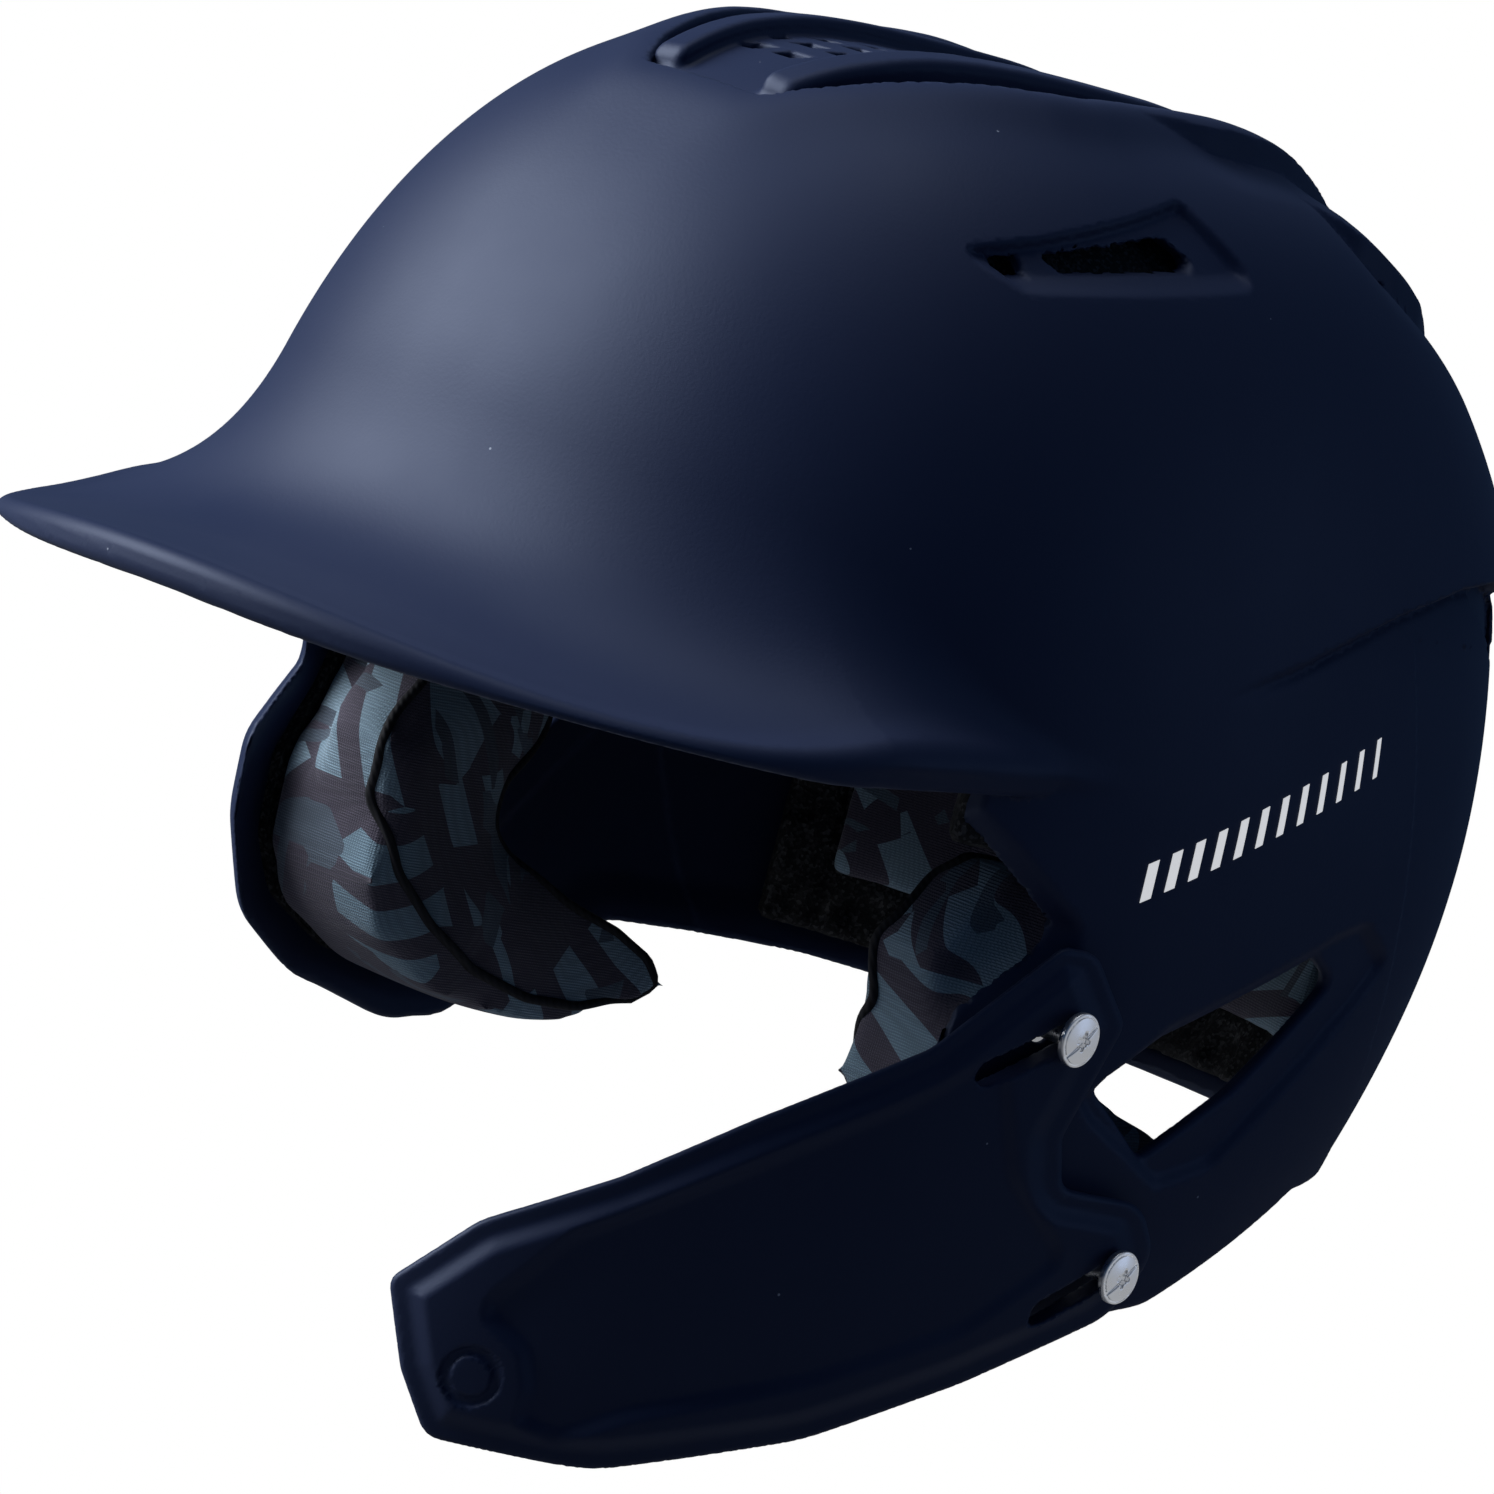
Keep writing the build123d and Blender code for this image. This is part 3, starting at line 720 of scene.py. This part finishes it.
# each layer of the print: cell scale, bar pitch, share of the pitch inked, and an offset
SHARD_LAYERS = ((31.0, 0.0115, 0.56, (0.0, 0.0, 0.0)), (46.0, 0.0072, 0.30, (0.31, 0.17, 0.23)))


def printed_fabric(name):
    """Stretch knit printed with groups of slanted shards, each group turned its own way."""
    p = Paint(name)
    shards = []
    for scale, pitch, width, offset in SHARD_LAYERS:
        shifted = p.vectors("ADD", p.place, offset)[0]
        cell = p.add("ShaderNodeTexVoronoi", {"Vector": shifted, "Scale": scale, "Randomness": 1.0},
                     feature="F1", distance="CHEBYCHEV")
        turned = p.vectors("SUBTRACT", cell.outputs["Color"], (0.5, 0.5, 0.5))[0]
        turned = p.vectors("MULTIPLY", turned, (1.0, 0.9, 1.0))[0]
        turned = p.vectors("NORMALIZE", turned)[0]
        along = p.vectors("DOT_PRODUCT", shifted, turned)["Value"]
        bars = p.maths("FRACT", p.maths("DIVIDE", along, pitch))
        bars = p.maths("LESS_THAN", bars, width)
        parts = p.channels(cell.outputs["Color"])
        some = p.maths("GREATER_THAN", parts[1], 0.25)
        shards.append((p.maths("MULTIPLY", bars, some), parts[2]))
    ground = p.mix(p.noise(30.0, 2.0), (0.105, 0.092, 0.130), (0.140, 0.122, 0.165))
    tone = p.mix(shards[0][1], (0.30, 0.45, 0.56), (0.42, 0.58, 0.70))
    colour = p.mix(shards[0][0], ground, tone)
    dark = p.mix(shards[1][1], (0.075, 0.066, 0.092), (0.20, 0.28, 0.36))
    over = p.maths("MULTIPLY", shards[1][0], p.maths("GREATER_THAN", shards[1][1], 0.35))
    colour = p.mix(over, colour, dark)
    waves = []
    for direction in ("X", "Y", "Z"):
        wave = p.waves(direction, 620.0, 0.6)
        wave.inputs["Detail"].default_value = 0.0
        waves.append(wave.outputs["Fac"])
    weave = p.maths("ADD", p.maths("MULTIPLY", waves[1], waves[2]), p.maths("MULTIPLY", waves[0], waves[2]))
    # Darker, towards near black, where the weave is low, in the same hollows that the bump sinks: painted
    # shade between the threads.
    colour = p.mix(p.scale_range(weave, 0.0, 1.4, 0.42, 0.0), colour, (0.012, 0.012, 0.018))
    p.set(Base_Color=colour, Roughness=0.85, Specular_IOR_Level=0.25, Sheen_Weight=0.25, Sheen_Roughness=0.5,
          Normal=p.bump(p.maths("ADD", weave, p.noise(240.0, 2.0)), 0.45, 0.0004))
    return p.material


def bright_metal(name):
    """Bright plated steel; faces turned outwards glow a little, for the studio's reflection."""
    p = Paint(name)
    streak = p.noise(420.0, 3.0)
    facing = p.add("ShaderNodeSeparateXYZ", {0: p.add("ShaderNodeNewGeometry").outputs["Normal"]}).outputs[0]
    glow = p.scale_range(facing, 0.5, 0.9, 0.0, 0.30)
    p.set(Base_Color=p.mix(p.noise(150.0, 2.0), (0.80, 0.80, 0.81), (0.92, 0.92, 0.92)), Metallic=1.0,
          Roughness=p.scale_range(streak, 0.3, 0.7, 0.22, 0.38), Normal=p.bump(streak, 0.05, 0.0001),
          Emission_Color=(0.9, 0.92, 0.95, 1.0), Emission_Strength=glow)
    return p.material


def piping_cloth(name):
    p = Paint(name)
    twist = p.waves("DIAGONAL", 300.0, 1.0).outputs["Fac"]
    p.set(Base_Color=p.mix(twist, (0.004, 0.004, 0.006), (0.014, 0.014, 0.019)), Roughness=0.8,
          Normal=p.bump(twist, 0.4, 0.0003))
    return p.material


def white_print(name):
    p = Paint(name)
    p.set(Base_Color=p.mix(p.noise(700.0, 2.0), (0.74, 0.75, 0.78), (0.86, 0.86, 0.88)),
          Roughness=p.scale_range(p.noise(80.0), 0.3, 0.7, 0.42, 0.55),
          # The print glows a little: painted light, so that it stays bright whatever light falls on it.
          Emission_Color=(1.0, 1.0, 1.0, 1.0), Emission_Strength=0.55)
    return p.material


NAVY = navy_plastic("navy_matte_plastic")
NAVY_GUARD = navy_plastic("navy_guard_plastic", 0.92)
SCREW_METAL = bright_metal("bright_screw_metal")
LINER_FOAM = foam("black_liner_foam", (0.006, 0.006, 0.007), (0.16, 0.16, 0.165))
PAD_FOAM = foam("grey_pad_foam", (0.010, 0.010, 0.010), (0.20, 0.20, 0.19), 2100.0)
PRINTED_FABRIC = printed_fabric("printed_knit")
PIPING = piping_cloth("black_piping")
PRINT = white_print("white_print")
shell.data.materials.append(NAVY)
grille.data.materials.append(NAVY)
guard.data.materials.append(NAVY_GUARD)


# Screws: flat-domed heads with one slanted slot and a small square recess
SCREW_HEAD, SCREW_HEAD_DEPTH, SCREW_SHANK, SCREW_DOMING = 4.8, 2.2, 1.85, 0.028
SLOT_DEPTH, SQUARE_DEPTH, CROSS_DEPTH, BORDER_DEPTH = 0.75, 1.3, 1.2, 0.85


def screw_solid(node, seat):
    low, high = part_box(node)
    tip, top = low[0] / MM, high[0] / MM

    def distance(x, y, z):
        dy, dz = y - seat[0], z - seat[1]
        radius = np.hypot(dy, dz)
        cap = np.maximum(x - top + SCREW_DOMING * radius**2, top - SCREW_HEAD_DEPTH - x)
        body = round_max(cap, radius - SCREW_HEAD, 0.45)
        body = np.maximum(body, -(np.maximum(np.abs(radius - 4.25) - 0.12, top - BORDER_DEPTH - x)))
        shank = np.maximum(radius - SCREW_SHANK, np.maximum(tip - x, x - top + 0.6))
        across, along = (dz - dy) * 0.7071, (dy + dz) * 0.7071
        slot = np.maximum(np.abs(across) - 0.32, top - SLOT_DEPTH - x)
        slot = np.maximum(slot, np.abs(along) - 4.6)
        square = np.maximum(np.maximum(np.abs(dy), np.abs(dz)) - 0.85, top - SQUARE_DEPTH - x)
        arms = np.minimum(np.maximum(np.abs(dy) - 0.38, np.abs(dz) - 1.7),
                          np.maximum(np.abs(dz) - 0.38, np.abs(dy) - 1.7))
        cross = np.maximum(arms, top - CROSS_DEPTH - x)
        recess = np.minimum(np.minimum(slot, square), cross)
        return round_max(np.minimum(body, shank), -recess, 0.12)

    return distance, (tip - 1, seat[0] - 6, seat[1] - 6), (top + 1, seat[0] + 6, seat[1] + 6)


for name, node, body, seat in (("screw_upper", "guard_screw_upper", "upper_screw", UPPER_SCREW),
                               ("screw_lower", "guard_screw_lower", "lower_screw", LOWER_SCREW)):
    screw = net_piece(name, *screw_solid(node, seat), 0.2, limit=24_000)
    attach(screw, body)
    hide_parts(node)
    screw.data.materials.append(SCREW_METAL)
for node in ("guard_nut_upper", "guard_nut_lower"):
    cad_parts[node].data.materials.clear()
    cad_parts[node].data.materials.append(SCREW_METAL)


# Moulded foam liner: wedges of the layer under the shell, with rounded edges and vent pits
LINER_OUT, LINER_IN, LINER_ROUND = 3.4, 11.2, 2.4
CROWN_LINER_OUT, CROWN_LINER_IN, CROWN_LINER_LOW, CROWN_LINER_HIGH = 6.7, 14.4, 77.9, 120
PIT_COLUMN, PIT_ROW, PIT_DEPTH, CHANNEL_DEPTH, ARC_RADIUS = 17, 19, 1.6, 1.0, 96


def from_nearest(value, pitch):
    """How far a value is from the nearest multiple of a pitch."""
    return (value / pitch - np.round(value / pitch)) * pitch


def wedge(x, y, start, end):
    """Distance in plan to a wedge about the origin, between two compass angles."""
    a, b = math.radians(start), math.radians(end)
    first = x * math.sin(a) - y * math.cos(a)
    second = -x * math.sin(b) + y * math.cos(b)
    return np.maximum(first, second)


def liner_solid(start, end, low, high):
    def distance(x, y, z):
        dome = head_distance(x, y, z)
        turn = np.arctan2(y, x)
        arc = turn * ARC_RADIUS
        pit = np.hypot(from_nearest(arc, PIT_COLUMN), from_nearest(z - 8, PIT_ROW))
        channel = np.abs(from_nearest(arc + PIT_COLUMN / 2, PIT_COLUMN))
        outside = LINER_OUT + 3.2 * (1 - ease(-1.0, 5.0, VENT_RECESS(y, z)))
        inner = LINER_IN - PIT_DEPTH * (1 - ease(3.4, 4.6, pit))
        inner = inner - CHANNEL_DEPTH * (1 - ease(0.8, 1.8, channel))
        layer = round_max(dome + outside, -(dome + inner), 2.0)
        edge = np.maximum(wedge(x, y, start, end) + 0.9, np.maximum(low - z, z - high))
        return round_max(layer, edge, LINER_ROUND)

    return distance


def crown_liner_solid(x, y, z):
    dome = head_distance(x, y, z)
    row = np.abs(from_nearest(x, 15))
    inner = CROWN_LINER_IN - 1.2 * (1 - ease(1.0, 2.2, row))
    layer = round_max(dome + CROWN_LINER_OUT, -(dome + inner), 2.0)
    return round_max(layer, np.maximum(CROWN_LINER_LOW - z, z - CROWN_LINER_HIGH), LINER_ROUND)


# each liner: its side, its solid, and the most faces that it keeps
LINERS = (("front", liner_solid(-138, -42, 9, 76), 40_000), ("left", liner_solid(-42, 46, -10, 76), 40_000),
          ("right", liner_solid(134, 222, -10, 76), 40_000), ("rear", liner_solid(46, 134, -54, 76), 40_000),
          ("crown", crown_liner_solid, 30_000))
BOX_MARGIN = 2
for side, solid, most in LINERS:
    node = side + "_liner"
    first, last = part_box(node)
    piece = net_piece("liner_" + side, solid, np.array(first) / MM - BOX_MARGIN,
                      np.array(last) / MM + BOX_MARGIN, 1.9, limit=most)
    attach(piece, "helmet")
    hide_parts(node)
    piece.data.materials.append(LINER_FOAM)
for node in ("left_ear_pad_backing", "right_ear_pad_backing"):
    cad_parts[node].data.materials.clear()
    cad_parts[node].data.materials.append(LINER_FOAM)


# Padded pieces: each is its CAD solid, shrunk a little, remeshed and blown up as cloth
CLOTH_FRAMES = 20


def puffed(name, node, body, voxel, shrink, cap, outermost, pressure=4.0):
    """A pad blown up as cloth. In mm: no point moves more than cap as it is blown up, and the
    pad stays inside the head form inset by outermost."""
    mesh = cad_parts[node].data.copy()
    mesh.materials.clear()
    piece = bpy.data.objects.new(name, mesh)
    bpy.context.collection.objects.link(piece)
    remesh = piece.modifiers.new("remesh", "REMESH")
    remesh.mode = "VOXEL"
    remesh.voxel_size = voxel * MM
    bake_modifiers(piece)
    points = vertex_points(piece.data)
    place_points(piece.data, points - vertex_normals(piece.data) * shrink * MM)
    rest = vertex_points(piece.data)
    cloth = piece.modifiers.new("cloth", "CLOTH")
    cloth.settings.quality = 5
    cloth.settings.mass = 0.3
    cloth.settings.use_pressure = True
    cloth.settings.uniform_pressure_force = pressure
    cloth.settings.effector_weights.gravity = 0.0
    cloth.collision_settings.use_collision = False
    scene = bpy.context.scene
    scene.frame_start, scene.frame_end = 1, CLOTH_FRAMES
    for step in range(1, CLOTH_FRAMES + 1):
        scene.frame_set(step)
    bake_modifiers(piece)
    scene.frame_set(1)
    points = vertex_points(piece.data)
    move = points - rest
    length = np.linalg.norm(move, axis=1, keepdims=True)
    points = rest + move * np.minimum(1, cap * MM / np.maximum(length, 1e-9))
    piece.data.vertices.foreach_set("co", points.astype(np.float32).ravel())
    smooth = piece.modifiers.new("smooth", "SMOOTH")
    smooth.factor, smooth.iterations = 0.5, 8
    finer = piece.modifiers.new("finer", "SUBSURF")
    finer.levels = finer.render_levels = 1
    bake_modifiers(piece)
    points = vertex_points(piece.data) / MM
    if outermost is not None:
        excess = np.maximum(head_distance(*points.T) + outermost, 0)
        points = points - slope_at(head_distance, points) * excess[:, None]
    piece.data.polygons.foreach_set("use_smooth", np.ones(len(piece.data.polygons), bool))
    place_points(piece.data, points * MM)
    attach(piece, body)
    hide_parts(node)
    return piece


# how deep inside the head form each pad's outer side lies
PAD_OUT, CROWN_PAD_OUT, EAR_PAD_OUT = 11.7, 14.9, 5.7
for name, node in (("pad_brow", "brow_pad"), ("pad_crown", "crown_pad"),
                   ("pad_temple_left", "left_temple_pad"), ("pad_temple_right", "right_temple_pad"),
                   ("pad_rear", "rear_pad")):
    depth = CROWN_PAD_OUT if node == "crown_pad" else PAD_OUT
    pad = puffed(name, node, "helmet", 3.5, 1.6, 3.0, depth)
    pad.data.materials.append(PRINTED_FABRIC)
jaw_pad = puffed("pad_jaw", "jaw_guard_pad", "guard", 2.5, 0.9, 1.2, None, pressure=2.0)
jaw_pad.data.materials.append(PAD_FOAM)

CHEEK_FACE = rounded_outline(
    [(-45, -13), (-52, -22), (-58, -31), (-55, -43), (-48, -55), (-35, -64), (-17, -72), (0, -76),
     (15, -76.5), (32, -73), (36, -68), (32, -62), (24, -58), (9, -54), (-7, -47.5), (-14, -43),
     (-14, -36), (-5, -27), (-2, -13)],
    [5, 12, 8, 12, 12, 20, 20, 20, 20, 4, 3, 5, 10, 12, 6, 3, 3, 8, 6], steps=5)


SEAM_INSET, PIPING_RADIUS = 2.0, 0.95


def inward(line, amount):
    """A closed line of points moved towards its own inside."""
    along = np.roll(line, -1, axis=0) - np.roll(line, 1, axis=0)
    along = along / np.linalg.norm(along, axis=1, keepdims=True)
    turn = np.sign(sum(a[0] * b[1] - a[1] * b[0] for a, b in zip(line, np.roll(line, -1, axis=0))))
    return line + amount * turn * np.stack([-along[:, 1], along[:, 0]], 1)


def even(line, spacing):
    """A closed line resampled at even steps."""
    ring = np.vstack([line, line[:1]])
    run = np.concatenate([[0], np.cumsum(np.linalg.norm(np.diff(ring, axis=0), axis=1))])
    at = np.arange(0, run[-1], run[-1] / round(run[-1] / spacing))
    return np.stack([np.interp(at, run, ring[:, n]) for n in range(ring.shape[1])], 1)


def ring_tube(name, line, radius, sides=10):
    """A closed tube along a closed line of points."""
    count = len(line)
    along = np.roll(line, -1, axis=0) - np.roll(line, 1, axis=0)
    along = along / np.linalg.norm(along, axis=1, keepdims=True)
    first = np.cross(along, (1.0, 0.0, 0.0))
    first = first / np.linalg.norm(first, axis=1, keepdims=True)
    second = np.cross(along, first)
    points, faces = [], []
    for k in range(sides):
        angle = 2 * math.pi * k / sides
        points.append(line + radius * (math.cos(angle) * first + math.sin(angle) * second))
    points = np.stack(points, 1).reshape(-1, 3)
    for i in range(count):
        for k in range(sides):
            j, m = (i + 1) % count, (k + 1) % sides
            faces.append((i * sides + k, i * sides + m, j * sides + m, j * sides + k))
    return mesh_piece(name, points, faces)


def face_line(piece, line, sign):
    """Points where rays from the middle of the helmet meet a cheek pad's face."""
    points = []
    for y, z in line:
        hit, where, _, _ = piece.ray_cast(Vector((0, y * MM, z * MM)), Vector((sign, 0, 0)))
        if hit:
            points.append(np.array(where) / MM)
    points = np.array(points)
    for _ in range(3):
        points[:, 0] = (np.roll(points[:, 0], 1) + points[:, 0] + np.roll(points[:, 0], -1)) / 3
    return points


for side, sign in (("left", 1), ("right", -1)):
    pad = puffed("pad_ear_" + side, side + "_ear_pad", "helmet", 2.2, 1.3, 3.6, EAR_PAD_OUT)
    pad.data.materials.append(PRINTED_FABRIC)
    seam = even(inward(CHEEK_FACE, SEAM_INSET), 1.5)
    piping = ring_tube("piping_" + side, face_line(pad, seam, sign), PIPING_RADIUS)
    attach(piping, "helmet")
    piping.data.materials.append(PIPING)


# A plain row of slanted bars printed on the left side
def side_surface(y, z):
    """X of the shell's left outer face at points of the side view."""
    low, high = np.full(y.shape, 55.0), np.full(y.shape, 112.0)
    for _ in range(26):
        middle = (low + high) / 2
        inside = shell_outer(middle, y, z)[0] < 0
        low, high = np.where(inside, middle, low), np.where(inside, high, middle)
    return low


BAR_COUNT, BAR_PITCH, BAR_WIDTH, BAR_HEIGHT, BAR_SLANT = 12, 5.7, 2.5, 6.4, 0.38
BAR_START, BAR_RISE = np.array((-35.0, -13.0)), math.radians(26.5)
BAR_COLUMNS, BAR_ROWS, BAR_PROUD, BAR_SUNK = 4, 8, 0.10, 0.25
BAR_POINTS = BAR_COLUMNS * BAR_ROWS
points, faces = [], []
for bar in range(BAR_COUNT):
    width = BAR_WIDTH * (1 - 0.045 * bar)
    u, v = np.meshgrid(np.linspace(0, width, BAR_COLUMNS), np.linspace(0, BAR_HEIGHT, BAR_ROWS))
    u, v = (u + BAR_SLANT * v + bar * BAR_PITCH).ravel(), v.ravel()
    y = BAR_START[0] + u * math.cos(BAR_RISE) - v * math.sin(BAR_RISE)
    z = BAR_START[1] + u * math.sin(BAR_RISE) + v * math.cos(BAR_RISE)
    x = side_surface(y, z)
    base = sum(len(p) for p in points)
    points += [np.stack([x + BAR_PROUD, y, z], 1), np.stack([x - BAR_SUNK, y, z], 1)]
    for row in range(BAR_ROWS - 1):
        for column in range(BAR_COLUMNS - 1):
            a = base + row * BAR_COLUMNS + column
            ring = (a, a + 1, a + BAR_COLUMNS + 1, a + BAR_COLUMNS)
            faces.append(ring)
            faces.append(tuple(BAR_POINTS + k for k in (ring[3], ring[2], ring[1], ring[0])))
    grid = base + np.arange(BAR_POINTS).reshape(BAR_ROWS, BAR_COLUMNS)
    rim = [*grid[0], *grid[1:, -1], *grid[-1, -2::-1], *grid[-2:0:-1, 0]]
    for a, b in zip(rim, rim[1:] + rim[:1]):
        faces.append((b, a, a + BAR_POINTS, b + BAR_POINTS))
bars = mesh_piece("printed_bars", np.concatenate(points), faces, smooth=False)
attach(bars, "helmet")
bars.data.materials.append(PRINT)


# Camera, light and floor
CAMERA_TURN, CAMERA_RISE, CAMERA_ROLL = math.radians(38.9), math.radians(5.3), math.radians(16.2)
back = Vector((math.sin(CAMERA_TURN) * math.cos(CAMERA_RISE),
               -math.cos(CAMERA_TURN) * math.cos(CAMERA_RISE), math.sin(CAMERA_RISE)))
right = Vector((math.cos(CAMERA_TURN), math.sin(CAMERA_TURN), 0))
above = back.cross(right)
turned_right = math.cos(CAMERA_ROLL) * right + math.sin(CAMERA_ROLL) * above
turned_up = math.cos(CAMERA_ROLL) * above - math.sin(CAMERA_ROLL) * right
CAMERA_DISTANCE, CAMERA_LENS, SENSOR_WIDTH = 1500.0, 200.6, 36.0
CAMERA_SHIFT_RIGHT, CAMERA_SHIFT_UP = -21.8, -8.47
data = bpy.data.cameras.new("camera")
data.sensor_width = SENSOR_WIDTH
data.lens = CAMERA_LENS
camera = bpy.data.objects.new("camera", data)
bpy.context.collection.objects.link(camera)
place = Matrix((turned_right, turned_up, back)).transposed().to_4x4()
place.translation = (CAMERA_DISTANCE * back + CAMERA_SHIFT_RIGHT * turned_right
                     + CAMERA_SHIFT_UP * turned_up) * MM
camera.matrix_world = place
bpy.context.scene.camera = camera


def area_light(name, position, target, size, power, colour):
    lamp = bpy.data.lights.new(name, "AREA")
    lamp.shape = "RECTANGLE"
    lamp.size, lamp.size_y = size
    lamp.energy = power
    lamp.color = colour
    piece = bpy.data.objects.new(name, lamp)
    piece.location = position
    direction = Vector(target) - Vector(position)
    piece.rotation_euler = direction.to_track_quat("-Z", "Y").to_euler()
    bpy.context.collection.objects.link(piece)


def white_to_camera(tree, seen_kind, other_kind, other_values, output_kind):
    """Plain white where the camera looks straight at it, and another shader for every other ray."""
    nodes, links = tree.nodes, tree.links
    nodes.clear()
    path = nodes.new("ShaderNodeLightPath")
    seen = nodes.new(seen_kind)
    seen.inputs["Color"].default_value = (1, 1, 1, 1)
    other = nodes.new(other_kind)
    for key, value in other_values.items():
        other.inputs[key].default_value = value
    choose = nodes.new("ShaderNodeMixShader")
    result = nodes.new(output_kind)
    links.new(path.outputs["Is Camera Ray"], choose.inputs["Fac"])
    links.new(other.outputs[0], choose.inputs[1])
    links.new(seen.outputs[0], choose.inputs[2])
    links.new(choose.outputs["Shader"], result.inputs["Surface"])


SOFT_WHITE, SOFT_BLUE = (0.93, 0.96, 1.0), (0.45, 0.62, 1.0)
area_light("key", (-1.35, -1.25, 0.95), (0, -0.05, 0.03), (1.7, 1.5), 60, SOFT_WHITE)
area_light("top", (-0.2, -0.1, 1.9), (0, 0, 0.05), (1.2, 1.2), 5, SOFT_WHITE)
area_light("edge", (1.5, 1.4, 0.5), (0, 0, 0), (0.8, 1.2), 1.4, SOFT_BLUE)

world = bpy.data.worlds.new("studio")
world.use_nodes = True
white_to_camera(world.node_tree, "ShaderNodeBackground", "ShaderNodeBackground",
                {"Color": (0.25, 0.5, 1.0, 1), "Strength": 0.085}, "ShaderNodeOutputWorld")
bpy.context.scene.world = world
bpy.context.scene.view_settings.view_transform = "Standard"

bm = bmesh.new()
FLOOR_LEVEL, FLOOR_HALF = -0.42, 2.6
for sx, sy in ((-1, -1), (1, -1), (1, 1), (-1, 1)):
    bm.verts.new((sx * FLOOR_HALF, sy * FLOOR_HALF, FLOOR_LEVEL))
bm.faces.new(bm.verts)
mesh = bpy.data.meshes.new("floor")
bm.to_mesh(mesh)
bm.free()
floor = bpy.data.objects.new("floor", mesh)
bpy.context.collection.objects.link(floor)
pale = bpy.data.materials.new("pale_floor")
pale.use_nodes = True
white_to_camera(pale.node_tree, "ShaderNodeEmission", "ShaderNodeBsdfDiffuse",
                {"Color": (0.2, 0.2, 0.205, 1)}, "ShaderNodeOutputMaterial")
mesh.materials.append(pale)
